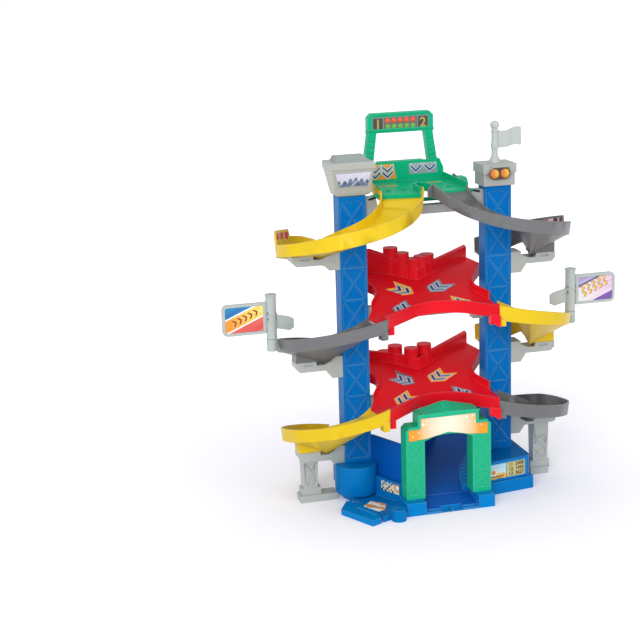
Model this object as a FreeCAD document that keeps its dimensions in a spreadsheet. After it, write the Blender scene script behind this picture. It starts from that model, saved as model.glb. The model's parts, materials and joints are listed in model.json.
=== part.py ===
import FreeCAD, Part
import math
import os
import Sketcher

# Toy race track: two lattice towers carry six descending turns, two crossing plates,
# a start platform with a gate, and an exit ramp that ends in an arch.
# X points right, Y points to the back, Z points up, all in millimetres.
# The origin is on the floor, half way between the tower centre lines.

os.makedirs("parts", exist_ok=True)
doc = FreeCAD.newDocument("race_track")
sheet = doc.addObject("Spreadsheet::Sheet", "sizes")
cell_names = []
pieces = []

LEFT = -1
RIGHT = 1


class Size:
    """A length that knows its number and the sheet expression that gives it."""

    def __init__(self, text, number):
        self.text = text
        self.number = float(number)

    def __add__(self, other):
        other = as_size(other)
        return Size(f"({self.text} + {other.text})", self.number + other.number)

    def __radd__(self, other):
        return as_size(other) + self

    def __sub__(self, other):
        other = as_size(other)
        return Size(f"({self.text} - {other.text})", self.number - other.number)

    def __rsub__(self, other):
        return as_size(other) - self

    def __mul__(self, other):
        other = as_size(other)
        return Size(f"({self.text} * {other.text})", self.number * other.number)

    def __rmul__(self, other):
        return as_size(other) * self

    def __truediv__(self, other):
        other = as_size(other)
        return Size(f"({self.text} / {other.text})", self.number / other.number)

    def __rtruediv__(self, other):
        return as_size(other) / self

    def __neg__(self):
        return Size(f"(0 - {self.text})", -self.number)

    def root(self):
        return Size(f"sqrt({self.text})", math.sqrt(self.number))


def as_size(value):
    if isinstance(value, Size):
        return value
    return Size(f"({value:g})", value)


def cell(alias, number):
    """Keep one driving size in the sheet."""
    row = len(cell_names) + 1
    cell_names.append(alias)
    sheet.set(f"A{row}", alias)
    sheet.set(f"B{row}", str(number))
    sheet.setAlias(f"B{row}", alias)
    return Size(f"sizes.{alias}", number)


# Towers
tower_spread = cell("tower_spread", 115)
tower_width = cell("tower_width", 42)
tower_depth = cell("tower_depth", 28)
tower_wall = cell("tower_wall", 2.5)
panel_pitch = cell("panel_pitch", 50)
foot_band = cell("foot_band", 10)
head_band = cell("head_band", 8)
frame_rail = cell("frame_rail", 3.5)
brace_rib = cell("brace_rib", 2.6)
brace_recess = cell("brace_recess", 1.3)
spigot_length = cell("spigot_length", 8)
spigot_wall = cell("spigot_wall", 1.8)
fit_gap = cell("fit_gap", 0.15)
lower_panels = 3
middle_panels = 3
upper_panels = 2

# Lanes and levels
deck_height = cell("deck_height", 52)
turn_outer = cell("turn_outer", 119)
turn_inner = cell("turn_inner", 54)
turn_draw_in = cell("turn_draw_in", 9)
lane_wall = cell("lane_wall", 2.5)
lane_floor = cell("lane_floor", 3)
lane_cove = cell("lane_cove", 3)
level_pitch = cell("level_pitch", 142.5)
wall_height = cell("wall_height", 23)
joint_gap = cell("joint_gap", 0.2)
entry_floor = cell("entry_floor", 461)
left_front_floor = cell("left_front_floor", 285)
right_front_floor = cell("right_front_floor", 281)
left_side_floor = cell("left_side_floor", 238)
right_side_floor = cell("right_side_floor", 236)
exit_floor = cell("exit_floor", 200)
top_rise = cell("top_rise", 5)
left_scoop = cell("left_scoop", 13)
right_scoop = cell("right_scoop", 3)
side_tab_rise = cell("side_tab_rise", 13)

# Crossing plates
plate_front_floor = cell("plate_front_floor", 151)
plate_back_floor = cell("plate_back_floor", 189.5)
plate_arm_fall = cell("plate_arm_fall", 6)
plate_front_apex = cell("plate_front_apex", 53)
plate_front_bend = cell("plate_front_bend", 60)
plate_back_apex = cell("plate_back_apex", 34)
plate_ramp_back = cell("plate_ramp_back", 54)
plate_notch = cell("plate_notch", 79)
plate_waist_wall = cell("plate_waist_wall", 10)
plate_front_wall = cell("plate_front_wall", 16)
plate_back_wall = cell("plate_back_wall", 17)
upper_left_rise = cell("upper_left_rise", 19)
lower_left_rise = cell("lower_left_rise", -2)
tyre_radius = cell("tyre_radius", 11.5)

# Brackets and legs
arm_reach = cell("arm_reach", 97)
arm_height = cell("arm_height", 15)
bracket_depth = cell("bracket_depth", 28)
mount_width = cell("mount_width", 16)
mount_height = cell("mount_height", 32)
block_width = cell("block_width", 25)
keel_width = cell("keel_width", 9)
keel_depth = cell("keel_depth", 5)
pillar_width = cell("pillar_width", 27)
arm_drop_left_1 = cell("arm_drop_left_1", 6)
arm_drop_left_2 = cell("arm_drop_left_2", 12)
arm_drop_left_3 = cell("arm_drop_left_3", 12)
arm_drop_right_1 = cell("arm_drop_right_1", 20)
arm_drop_right_2 = cell("arm_drop_right_2", 15)
arm_drop_right_3 = cell("arm_drop_right_3", 7)
leg_foot_height = cell("leg_foot_height", 11)

# Start platform, gate and gantry
platform_top = cell("platform_top", 468)
platform_plate = cell("platform_plate", 3)
platform_half = cell("platform_half", 69)
platform_back = cell("platform_back", 102)
back_wall_depth = cell("back_wall_depth", 14)
back_wall_rise = cell("back_wall_rise", 31)
side_wall_rise = cell("side_wall_rise", 10)
gate_angle = cell("gate_angle", 12)
axle_radius = cell("axle_radius", 2)
running_gap = cell("running_gap", 0.08)
peg_rise = cell("peg_rise", 8)
gantry_half = cell("gantry_half", 53)
gantry_rise = cell("gantry_rise", 79.5)
gantry_header = cell("gantry_header", 27)
gantry_leg = cell("gantry_leg", 46)
gantry_depth = cell("gantry_depth", 12)

# Caps on the towers
cap_plug = cell("cap_plug", 8)
cab_floor_width = cell("cab_floor_width", 48)
cab_floor_depth = cell("cab_floor_depth", 36)
cab_brow_width = cell("cab_brow_width", 66)
cab_brow_depth = cell("cab_brow_depth", 50)
cab_flare = cell("cab_flare", 33)
cab_fascia = cell("cab_fascia", 15)
cab_roof_height = cell("cab_roof_height", 8)
lamp_width = cell("lamp_width", 50)
lamp_depth = cell("lamp_depth", 38)
lamp_height = cell("lamp_height", 19)
lamp_rim_width = cell("lamp_rim_width", 53)
lamp_rim_depth = cell("lamp_rim_depth", 44)
lamp_rim_height = cell("lamp_rim_height", 14)
lens_radius = cell("lens_radius", 6.5)
lens_spacing = cell("lens_spacing", 15)
bezel_depth = cell("bezel_depth", 3)
pole_radius = cell("pole_radius", 4.6)
pole_height = cell("pole_height", 56)
ball_radius = cell("ball_radius", 7)
flag_width = cell("flag_width", 40)
flag_height = cell("flag_height", 30)
flag_thickness = cell("flag_thickness", 2.6)
flag_wave = cell("flag_wave", 2.4)

# Turning signs
post_radius = cell("post_radius", 8)
post_length = cell("post_length", 68)
socket_height = cell("socket_height", 18)
post_offset = cell("post_offset", 6.5)
sign_reach = cell("sign_reach", 75)
board_height = cell("board_height", 42)
board_lift = cell("board_lift", 15)
paddle_reach = cell("paddle_reach", 34)
paddle_height = cell("paddle_height", 21)
board_thickness = cell("board_thickness", 4)
board_corner = cell("board_corner", 7)
pin_radius = cell("pin_radius", 2.6)
pin_length = cell("pin_length", 30)

# Crossbars
bar_height = cell("bar_height", 13)
bar_depth = cell("bar_depth", 16)
boss_width = cell("boss_width", 18)
boss_height = cell("boss_height", 44)

# Base, exit ramp and arch
pedestal_step = cell("pedestal_step", 20)
base_outer = cell("base_outer", 157)
plinth_height = cell("plinth_height", 20)
slab_height = cell("slab_height", 8)
sticker_plinth = cell("sticker_plinth", 38)
ramp_wall_top = cell("ramp_wall_top", 99)
ramp_wall = cell("ramp_wall", 3)
ramp_low = cell("ramp_low", 6)
ramp_slope = cell("ramp_slope", 0.22)
ramp_foot_half = cell("ramp_foot_half", 30)
ramp_foot_depth = cell("ramp_foot_depth", 12)
lip_front = cell("lip_front", 113)
sill_front = cell("sill_front", 121)
sill_left = cell("sill_left", 72)
arch_front = cell("arch_front", 105)
arch_depth = cell("arch_depth", 26)
arch_half = cell("arch_half", 67)
arch_gate_half = cell("arch_gate_half", 38)
arch_opening = cell("arch_opening", 110)
arch_crown = cell("arch_crown", 8)
arch_shoulder = cell("arch_shoulder", 133.5)
arch_eave = cell("arch_eave", 151)
arch_peak = cell("arch_peak", 162)
arch_brow = cell("arch_brow", 149.5)
arch_roof_half = cell("arch_roof_half", 48)
peg_radius = cell("peg_radius", 11)
peg_height = cell("peg_height", 18)
doc.recompute()

# Heights and edges that several pieces share
axle_y = platform_back + 4
axle_level = platform_top - platform_plate - 7
gate_y = as_size(18)
pad_face = platform_half + 9
tower_inner = tower_spread - tower_width / 2
arch_back = arch_depth - arch_front
waist_back = tower_depth / 2 + 8
side_gap = joint_gap + 0.1
plate_offset = as_size(42)
slab_end = -sill_front - 10


def vector(x, y, z=0):
    return FreeCAD.Vector(as_size(x).number, as_size(y).number, as_size(z).number)


def bind(thing, path, size):
    """Tie one property of a document object to the sheet."""
    size = as_size(size)
    thing.setExpression(path, size.text)


def rectangle(x_low, y_low, x_high, y_high):
    return [(x_low, y_low), (x_high, y_low), (x_high, y_high), (x_low, y_high)]


def mirrored(points, side):
    """Points given for the right side, turned over for the left one."""
    return [(side * x, y) for x, y in points]


class Bend:
    """A corner that is reached along an arc of the given radius about a centre."""

    def __init__(self, x, y, radius, centre):
        self.point = (x, y)
        self.radius = as_size(radius)
        self.centre = centre


def corner(entry):
    return entry.point if isinstance(entry, Bend) else entry


def draw_outline(sketch, entries):
    """Closed outline of lines and arcs; the sheet holds every corner."""
    count = len(entries)
    first = sketch.GeometryCount
    starts = []
    ends = []
    for index in range(count):
        here = vector(*corner(entries[index]))
        target = entries[(index + 1) % count]
        there = vector(*corner(target))
        if not isinstance(target, Bend):
            sketch.addGeometry(Part.LineSegment(here, there), False)
            starts.append(1)
            ends.append(2)
            continue
        centre = vector(*target.centre)
        from_angle = math.atan2(here.y - centre.y, here.x - centre.x)
        to_angle = math.atan2(there.y - centre.y, there.x - centre.x)
        sweep = (to_angle - from_angle) % (2 * math.pi)
        circle = Part.Circle(centre, FreeCAD.Vector(0, 0, 1), target.radius.number)
        if sweep < math.pi:
            arc = Part.ArcOfCircle(circle, from_angle, from_angle + sweep)
            starts.append(1)
            ends.append(2)
        else:
            arc = Part.ArcOfCircle(circle, to_angle, to_angle + 2 * math.pi - sweep)
            starts.append(2)
            ends.append(1)
        sketch.addGeometry(arc, False)
    for index in range(count):
        following = (index + 1) % count
        joint = Sketcher.Constraint(
            "Coincident", first + index, ends[index], first + following, starts[following])
        sketch.addConstraint(joint)
    for index in range(count):
        x, y = corner(entries[index])
        hold(sketch, "DistanceX", first + index, starts[index], x)
        hold(sketch, "DistanceY", first + index, starts[index], y)
        target = entries[(index + 1) % count]
        if isinstance(target, Bend):
            number = sketch.addConstraint(
                Sketcher.Constraint("Radius", first + index, target.radius.number))
            bind(sketch, f"Constraints[{number}]", target.radius)


def hold(sketch, kind, geometry, point, size):
    """Fix one coordinate of a point from the sketch origin."""
    size = as_size(size)
    number = sketch.addConstraint(Sketcher.Constraint(kind, -1, 1, geometry, point, size.number))
    bind(sketch, f"Constraints[{number}]", size)


def draw_circle(sketch, x, y, radius):
    radius = as_size(radius)
    index = sketch.GeometryCount
    sketch.addGeometry(Part.Circle(vector(x, y), FreeCAD.Vector(0, 0, 1), radius.number), False)
    hold(sketch, "DistanceX", index, 3, x)
    hold(sketch, "DistanceY", index, 3, y)
    number = sketch.addConstraint(Sketcher.Constraint("Radius", index, radius.number))
    bind(sketch, f"Constraints[{number}]", radius)


def set_place(thing, x, y, z):
    """Put a sub-part at a place that the sheet gives."""
    thing.Placement = FreeCAD.Placement(vector(x, y, z), FreeCAD.Rotation())
    bind(thing, ".Placement.Base.x", x)
    bind(thing, ".Placement.Base.y", y)
    bind(thing, ".Placement.Base.z", z)


class Piece:
    """One moulded piece, built from sketches on planes square to the frame."""

    # The way each plane's normal points along its own axis
    NORMAL = {"XY": 1, "XZ": -1, "YZ": 1}

    def __init__(self, name, x=0, y=0, z=0):
        self.name = name
        self.body = doc.addObject("PartDesign::Body", name)
        self.body.Label = name
        set_place(self.body, x, y, z)
        self.count = 0
        pieces.append(self.body)

    def label(self, kind):
        self.count += 1
        return f"{self.name}_{kind}_{self.count}"

    def sketch(self, plane, level, outlines=(), circles=()):
        sketch = self.body.newObject("Sketcher::SketchObject", self.label("sketch"))
        role = f"{plane}_Plane"
        base = [item for item in self.body.Origin.OriginFeatures if item.Role == role][0]
        sketch.AttachmentSupport = (base, [""])
        sketch.MapMode = "FlatFace"
        lift = as_size(level) * self.NORMAL[plane]
        sketch.AttachmentOffset = FreeCAD.Placement(vector(0, 0, lift), FreeCAD.Rotation())
        bind(sketch, "AttachmentOffset.Base.z", lift)
        for outline in outlines:
            draw_outline(sketch, outline)
        for circle in circles:
            draw_circle(sketch, *circle)
        return sketch

    def pad(self, plane, low, high, outlines=(), circles=()):
        """Material between two levels of the plane's axis."""
        level = low if self.NORMAL[plane] > 0 else high
        sketch = self.sketch(plane, level, outlines, circles)
        pad = self.body.newObject("PartDesign::Pad", self.label("pad"))
        pad.Profile = sketch
        pad.Length = (as_size(high) - low).number
        bind(pad, "Length", as_size(high) - low)
        self.body.Tip = pad
        return pad

    def pocket(self, plane, low, high, outlines=(), circles=()):
        """Cut between two levels of the plane's axis."""
        level = high if self.NORMAL[plane] > 0 else low
        sketch = self.sketch(plane, level, outlines, circles)
        pocket = self.body.newObject("PartDesign::Pocket", self.label("pocket"))
        pocket.Profile = sketch
        pocket.Length = (as_size(high) - low).number
        bind(pocket, "Length", as_size(high) - low)
        self.body.Tip = pocket
        return pocket

    def repeat(self, feature, axis, pitch, copies):
        """Copies of a feature along an axis of its own sketch."""
        pattern = self.body.newObject("PartDesign::LinearPattern", self.label("pattern"))
        pattern.Originals = [feature]
        pattern.Direction = (feature.Profile[0], [axis])
        pattern.Length = (as_size(pitch) * (copies - 1)).number
        bind(pattern, "Length", as_size(pitch) * (copies - 1))
        pattern.Occurrences = copies
        self.body.Tip = pattern
        return pattern

    def revolve(self, profile):
        """Solid of revolution about the piece's own upright axis."""
        sketch = self.sketch("XZ", 0, [profile])
        turned = self.body.newObject("PartDesign::Revolution", self.label("revolution"))
        turned.Profile = sketch
        turned.ReferenceAxis = (sketch, ["V_Axis"])
        turned.Angle = 360
        self.body.Tip = turned
        return turned

    def loft(self, plane, low, high, low_outline, high_outline):
        """Straight loft between outlines at two levels of the plane's axis."""
        start = self.sketch(plane, low, [low_outline])
        end = self.sketch(plane, high, [high_outline])
        loft = self.body.newObject("PartDesign::AdditiveLoft", self.label("loft"))
        loft.Profile = start
        loft.Sections = [end]
        loft.Ruled = True
        self.body.Tip = loft
        return loft

    def braced_panels(self, x_low, x_high, z_low, pitch, copies, face, inward):
        """Four sunk triangles that leave an X brace, repeated up a face."""
        half_wide = (as_size(x_high) - x_low) / 2 - frame_rail
        half_high = as_size(pitch) / 2 - brace_rib / 2
        middle_x = (as_size(x_low) + x_high) / 2
        middle_z = as_size(z_low) + as_size(pitch) / 2
        slant = (half_wide * half_wide + half_high * half_high).root()
        along_x = brace_rib / 2 * slant / half_high
        along_z = brace_rib / 2 * slant / half_wide
        triangles = []
        for way in (-1, 1):
            edge_z = middle_z + way * half_high
            triangles.append([
                (middle_x - half_wide + along_x, edge_z),
                (middle_x + half_wide - along_x, edge_z),
                (middle_x, middle_z + way * along_z)])
            edge_x = middle_x + way * half_wide
            triangles.append([
                (edge_x, middle_z - half_high + along_z),
                (edge_x, middle_z + half_high - along_z),
                (middle_x + way * along_x, middle_z)])
        if inward > 0:
            cut = self.pocket("XZ", face, as_size(face) + brace_recess, triangles)
        else:
            cut = self.pocket("XZ", as_size(face) - brace_recess, face, triangles)
        if copies > 1:
            self.repeat(cut, "V_Axis", pitch, copies)


def moulded(name, shape):
    """A sub-part whose shape comes from lofts and booleans of this script."""
    feature = doc.addObject("Part::Feature", name)
    feature.Label = name
    feature.Shape = shape
    feature.Placement = FreeCAD.Placement()
    pieces.append(feature)
    return feature


# Towers

tower_half_x = tower_width / 2
tower_half_y = tower_depth / 2
lower_top = deck_height + foot_band + panel_pitch * lower_panels
middle_top = lower_top + panel_pitch * middle_panels
tower_top = middle_top + panel_pitch * upper_panels + head_band


def tower_rectangle(side, inset):
    """Plan of a tower, drawn in on all sides."""
    middle = side * tower_spread
    half_x = tower_half_x - inset
    half_y = tower_half_y - inset
    return rectangle(middle - half_x, -half_y, middle + half_x, half_y)


def spigot(piece, side, level):
    """Hollow collar that stands up out of one piece into the tower above it."""
    inner = tower_wall + fit_gap + spigot_wall
    piece.pad("XY", level - spigot_length, level, [
        tower_rectangle(side, tower_wall / 2), tower_rectangle(side, inner)])
    piece.pad("XY", level, level + spigot_length, [
        tower_rectangle(side, tower_wall + fit_gap), tower_rectangle(side, inner)])


def tower_section(name, side, low, high, first_panel, panels, collar):
    piece = Piece(name)
    piece.pad("XY", low, high, [tower_rectangle(side, 0), tower_rectangle(side, tower_wall)])
    middle = side * tower_spread
    for face, inward in ((-tower_half_y, 1), (tower_half_y, -1)):
        piece.braced_panels(
            middle - tower_half_x, middle + tower_half_x, first_panel, panel_pitch, panels,
            face, inward)
    if collar:
        spigot(piece, side, high)


def towers():
    for side, word in ((LEFT, "left"), (RIGHT, "right")):
        tower_section(
            f"tower_{word}_lower", side, deck_height, lower_top,
            deck_height + foot_band, lower_panels, True)
        tower_section(
            f"tower_{word}_middle", side, lower_top, middle_top,
            lower_top, middle_panels, True)
        tower_section(
            f"tower_{word}_upper", side, middle_top, tower_top,
            middle_top, upper_panels, False)


# Turns: channels that wind down around a tower

FRONT_ANGLE = {LEFT: 80, RIGHT: 72}
SIDE_ANGLE = 180
EXIT_ANGLE = 265
SECTION_STEP = 15


def polar(side, radius, angle):
    """Plan point on a turn: 0 degrees faces the middle, 90 the front, 180 outwards."""
    turned = math.radians(angle)
    facing = max(math.cos(turned), 0)
    reach = radius - turn_draw_in.number * facing * facing
    x = side * (tower_spread.number - reach * math.cos(turned))
    return x, -reach * math.sin(turned)


def smooth(stations, angle):
    """Height at an angle, on a smooth curve through a few named stations."""
    angle = max(angle, stations[0][0])
    count = len(stations)
    slopes = []
    for index in range(count):
        before = stations[max(index - 1, 0)]
        after = stations[min(index + 1, count - 1)]
        slopes.append((after[1] - before[1]) / (after[0] - before[0]))
    index = 0
    while index < count - 2 and angle > stations[index + 1][0]:
        index += 1
    start, end = stations[index], stations[index + 1]
    span = end[0] - start[0]
    share = (angle - start[0]) / span
    rise = share * share * (3 - 2 * share)
    lean_out = share * (1 - share) * (1 - share) * span * slopes[index]
    lean_in = share * share * (1 - share) * span * slopes[index + 1]
    return start[1] + (end[1] - start[1]) * rise + lean_out - lean_in


def floor_stations(side, level):
    """Named floor heights along one turn; level 1 is the highest."""
    drop = level_pitch.number * (level - 2)
    front = left_front_floor if side == LEFT else right_front_floor
    outer = left_side_floor if side == LEFT else right_side_floor
    lift = top_rise.number if level == 1 else 0
    stations = [
        (FRONT_ANGLE[side], front.number - drop),
        (SIDE_ANGLE, outer.number - drop + lift),
        (EXIT_ANGLE, exit_floor.number - drop)]
    if level == 1:
        stations.insert(0, (gate_angle.number, entry_floor.number))
    return stations


def floor_at(side, level, angle):
    return smooth(floor_stations(side, level), angle)


def wall_at(side, level, angle):
    """Side wall height; the top turns have a deeper scoop below the platform."""
    height = wall_height.number
    if level == 1 and angle < SIDE_ANGLE:
        scoop = left_scoop if side == LEFT else right_scoop
        share = math.sin(math.pi * (angle - gate_angle.number) / (SIDE_ANGLE - gate_angle.number))
        height += scoop.number * share * share
    return height


def radial_section(side, level, angle, profile):
    """Closed wire of (radius, height above the floor) points in a plane through the tower."""
    base = floor_at(side, level, angle)
    points = []
    for radius, height in profile:
        x, y = polar(side, radius, angle)
        points.append(FreeCAD.Vector(x, y, base + height))
    return Part.makePolygon(points + points[:1])


def along_turn(side, level, start, end, profile_at):
    """Ruled loft through radial sections from one angle to another."""
    steps = max(1, round(abs(end - start) / SECTION_STEP))
    wires = []
    for step in range(steps + 1):
        angle = start + (end - start) * step / steps
        wires.append(radial_section(side, level, angle, profile_at(angle)))
    return Part.makeLoft(wires, True, True)


def channel_profile(side, level, angle):
    """U section with coved inner corners."""
    outer = turn_outer.number
    inner = turn_inner.number
    wall = lane_wall.number
    cove = lane_cove.number
    height = wall_at(side, level, angle)
    under = -lane_floor.number
    return [
        (outer, under), (outer, height), (outer - wall, height),
        (outer - wall, cove), (outer - wall - cove, 0),
        (inner + wall + cove, 0), (inner + wall, cove),
        (inner + wall, height), (inner, height), (inner, under)]


# How far each arm's top lies under the lane's underside
ARM_DROP = {
    LEFT: (arm_drop_left_1, arm_drop_left_2, arm_drop_left_3),
    RIGHT: (arm_drop_right_1, arm_drop_right_2, arm_drop_right_3)}


def arm_top(side, level):
    drop = level_pitch * (level - 2)
    outer = left_side_floor if side == LEFT else right_side_floor
    lift = top_rise if level == 1 else 0
    return outer - drop + lift - lane_floor - ARM_DROP[side][level - 1]


def box_between(x_low, x_high, y_low, y_high, z_low, z_high):
    size = (abs(x_high - x_low), y_high - y_low, z_high - z_low)
    return Part.makeBox(*size, FreeCAD.Vector(min(x_low, x_high), y_low, z_low))


def keel_and_block(side, level):
    """Tapered keel and square block under the outer side, which plug onto the arm."""
    seat = arm_top(side, level).number
    high = floor_at(side, level, SIDE_ANGLE - 50)
    reach = turn_outer.number - turn_inner.number
    tip_low = tower_spread.number + turn_inner.number
    tip_high = tip_low + keel_width.number
    wide_high = tower_spread.number + turn_outer.number - lane_wall.number
    depth = bracket_depth.number / 2

    def level_rectangle(x_low, x_high, half_y, z):
        corners = [(x_low, -half_y), (x_high, -half_y), (x_high, half_y), (x_low, half_y)]
        points = [FreeCAD.Vector(side * x, y, z) for x, y in corners]
        return Part.makePolygon(points + points[:1])

    plug_wires = [
        level_rectangle(tip_low, tip_high, depth / 2, seat - keel_depth.number),
        level_rectangle(tip_low, tip_high, depth / 2, seat)]
    keel_wires = [plug_wires[1], level_rectangle(tip_low, wide_high, reach * 0.8, high)]
    keel = Part.makeLoft(plug_wires, True, True).fuse(Part.makeLoft(keel_wires, True, True))
    block_end = arm_reach.number - mount_width.number
    block_x = tower_spread.number + tower_half_x.number + block_end
    block = box_between(
        side * (block_x - block_width.number), side * block_x, -depth + 1, depth - 1, seat, high)
    hull = keel.fuse(block)

    def above_underside(angle):
        under = -lane_floor.number
        roof = high - floor_at(side, level, EXIT_ANGLE) + 60
        inner = turn_inner.number - lane_floor.number
        outer = turn_outer.number + lane_floor.number
        return [(outer, under), (outer, roof), (inner, roof), (inner, under)]

    lane_space = along_turn(side, level, SIDE_ANGLE - 75, SIDE_ANGLE + 75, above_underside)
    ring = Part.makeCylinder(
        turn_outer.number - lane_wall.number, high, FreeCAD.Vector(side * tower_spread.number, 0, 0))
    core = Part.makeCylinder(
        turn_inner.number, high, FreeCAD.Vector(side * tower_spread.number, 0, 0))
    return hull.common(ring.cut(core)).cut(lane_space)


def turn(name, side, level):
    """One channel with its keel, end hook and, on the top level, its striped tab."""
    start = gate_angle.number if level == 1 else FRONT_ANGLE[side]
    shape = along_turn(
        side, level, start, EXIT_ANGLE, lambda angle: channel_profile(side, level, angle))
    extras = [keel_and_block(side, level)]
    outer = turn_outer.number
    wall = lane_wall.number
    if level == 1:
        rise = side_tab_rise.number
        extras.append(along_turn(
            side, level, SIDE_ANGLE + 8, SIDE_ANGLE + 44,
            lambda angle: rectangle(
                outer - wall, wall_height.number / 2, outer, wall_height.number + rise)))
        tongue_low = -lane_floor.number
        tongue_high = (platform_top - platform_plate - entry_floor).number
        extras.append(along_turn(
            side, level, start, start - 9,
            lambda angle: rectangle(
                turn_inner.number + 14, tongue_low, outer - 16, tongue_high)))
    else:
        extras.append(along_turn(
            side, level, start, start + 6,
            lambda angle: rectangle(outer - 14, -11, outer, -1)))
    moulded(name, shape.fuse(extras).removeSplitter())


def turns():
    for level in (1, 2, 3):
        turn(f"turn_left_{level}", LEFT, level)
        turn(f"turn_right_{level}", RIGHT, level)


# Crossing plates: each carries both lanes over to the other tower

def arc_through(centre, radius, start_angle, end_angle):
    """Plan arc about a centre, by its two ends and its middle."""
    points = []
    for share in (0, 0.5, 1):
        angle = start_angle + (end_angle - start_angle) * share
        points.append(FreeCAD.Vector(
            centre[0] + radius * math.cos(angle), centre[1] + radius * math.sin(angle), 0))
    return Part.Arc(*points).toShape()


def front_touch(side):
    """Where the straight front edge from an arm's end meets the middle arc."""
    x, y = polar(side, turn_outer.number, FRONT_ANGLE[side])
    bend = plate_front_bend.number
    centre_y = -plate_front_apex.number - bend
    distance = math.hypot(x, y - centre_y)
    angle = math.atan2(y - centre_y, x) + side * math.acos(bend / distance)
    return angle % (2 * math.pi)


def plate_outline(reach):
    """Plan of a crossing plate; reach lengthens its four arms by an angle."""
    bend = plate_front_bend.number
    centre_y = -plate_front_apex.number - bend
    arc = arc_through((0, centre_y), bend, front_touch(LEFT), front_touch(RIGHT))
    notch = plate_notch.number
    blunt = 8
    right = []
    left = []
    for side, run in ((RIGHT, right), (LEFT, left)):
        front = FRONT_ANGLE[side] + reach
        back = EXIT_ANGLE - reach
        run += [
            polar(side, turn_outer.number, front), polar(side, turn_inner.number, front),
            (side * notch, -blunt), (side * notch, blunt),
            polar(side, turn_inner.number, back), polar(side, turn_outer.number, back)]
    corners = [arc.Vertexes[-1].Point]
    corners += [FreeCAD.Vector(*place, 0) for place in right]
    corners.append(FreeCAD.Vector(0, plate_back_apex.number, 0))
    corners += [FreeCAD.Vector(*place, 0) for place in reversed(left)]
    corners.append(arc.Vertexes[0].Point)
    edges = [arc]
    for here, there in zip(corners, corners[1:]):
        edges.append(Part.LineSegment(here, there).toShape())
    return Part.Wire(Part.__sortEdges__(edges))


def side_band(points, x_low, x_high):
    """Solid between two X values whose side view is a closed line of (y, z) points."""
    wire = Part.makePolygon([FreeCAD.Vector(x_low, y, z) for y, z in points + points[:1]])
    return Part.Face(wire).extrude(FreeCAD.Vector(x_high - x_low, 0, 0))


def prism(wire, low, high):
    face = Part.Face(wire)
    face.translate(FreeCAD.Vector(0, 0, low))
    return face.extrude(FreeCAD.Vector(0, 0, high - low))


def plate_floor(y):
    """Floor height of the lower plate: level arms with a ramp between them."""
    arm_end = turn_outer.number
    stations = [
        (-arm_end * 2, plate_front_floor.number),
        (-plate_front_apex.number, plate_front_floor.number),
        (plate_ramp_back.number, plate_back_floor.number),
        (arm_end, plate_back_floor.number + plate_arm_fall.number),
        (arm_end * 2, plate_back_floor.number + plate_arm_fall.number)]
    for (y_low, z_low), (y_high, z_high) in zip(stations, stations[1:]):
        if y <= y_high:
            return z_low + (z_high - z_low) * (y - y_low) / (y_high - y_low)
    return stations[-1][1]


def lifted(stations, lift):
    """Side view points at named heights over the plate's floor."""
    return [(y, plate_floor(y) + height + lift) for y, height in stations]


# Places along X of the stacked tyres, and how high each stands over the floor at its foot
UPPER_TYRES = ((-33, 39), (-18, 32.5), (-3, 28), (12, 27.5), (24, 26))
LOWER_TYRES = ((-43, 14), (-29, 25), (-7, 26), (16, 27))


def tyres(places, lift):
    """Upright tyre stacks along the back edge."""
    radius = tyre_radius.number
    apex = plate_back_apex.number
    end_x, end_y = polar(RIGHT, turn_outer.number, EXIT_ANGLE)
    lean = (end_y - apex) / end_x
    stack = []
    for x, rise in places:
        y = apex + radius * 0.68 + abs(x) * lean
        foot = plate_floor(y) - lane_floor.number
        stack.append(Part.makeCylinder(radius, rise + lane_floor.number, FreeCAD.Vector(x, y, foot + lift)))
    return stack


def plate(name, places, lift, left_rise):
    """Tray with a ramp, walls that dip at the waist, and tyres stacked on its back edge."""
    reach = turn_outer.number + 20
    half = tower_spread.number + turn_outer.number
    apex = plate_back_apex.number
    ramp_back = plate_ramp_back.number
    front = plate_front_apex.number
    low = plate_front_floor.number - 40 + lift
    high = plate_back_floor.number + 120 + lift
    stations = [-reach, -front, ramp_back, turn_outer.number, reach]
    floor = lifted([(y, 0) for y in stations], lift)
    under = lifted([(y, -lane_floor.number) for y in reversed(stations)], lift)
    front_rim = [
        (-reach, plate_front_wall.number), (-front, plate_front_wall.number),
        (-12, plate_waist_wall.number), (8, plate_waist_wall.number)]
    rims = []
    for rise in (left_rise.number, 0):
        rims.append(front_rim + [
            (apex, plate_back_wall.number), (ramp_back, plate_back_wall.number + rise / 2),
            (turn_outer.number * 0.64, plate_back_wall.number + rise),
            (turn_outer.number, plate_back_wall.number + rise / 2), (reach, plate_back_wall.number)])
    left_band = side_band(lifted(rims[0], lift) + under, -half, 0)
    right_band = side_band(lifted(rims[1], lift) + under, 0, half)
    shape = prism(plate_outline(0), low, high).common(left_band.fuse(right_band))
    lane_wire = plate_outline(6).makeOffset2D(-lane_wall.number)
    lane = prism(lane_wire, low, high).common(
        side_band(floor + [(reach, high), (-reach, high)], -half, half))
    hooks = []
    for side in (LEFT, RIGHT):
        x, y = polar(side, turn_outer.number - 8, FRONT_ANGLE[side])
        base = plate_floor(y) - lane_floor.number + lift
        hooks.append(box_between(x - 9 * side - 4, x - 9 * side + 4, y + 1, y + 11, base - 12, base + 2))
    shape = shape.cut(lane).fuse(tyres(places, lift) + hooks)
    moulded(name, shape.removeSplitter())


def plates():
    plate("crossing_upper", UPPER_TYRES, level_pitch.number, upper_left_rise)
    plate("crossing_lower", LOWER_TYRES, 0, lower_left_rise)


# Brackets and legs under the outer side of each turn

arm_inner = tower_spread + tower_half_x
arm_end = arm_inner + arm_reach - mount_width
mount_end = arm_inner + mount_width


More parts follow.
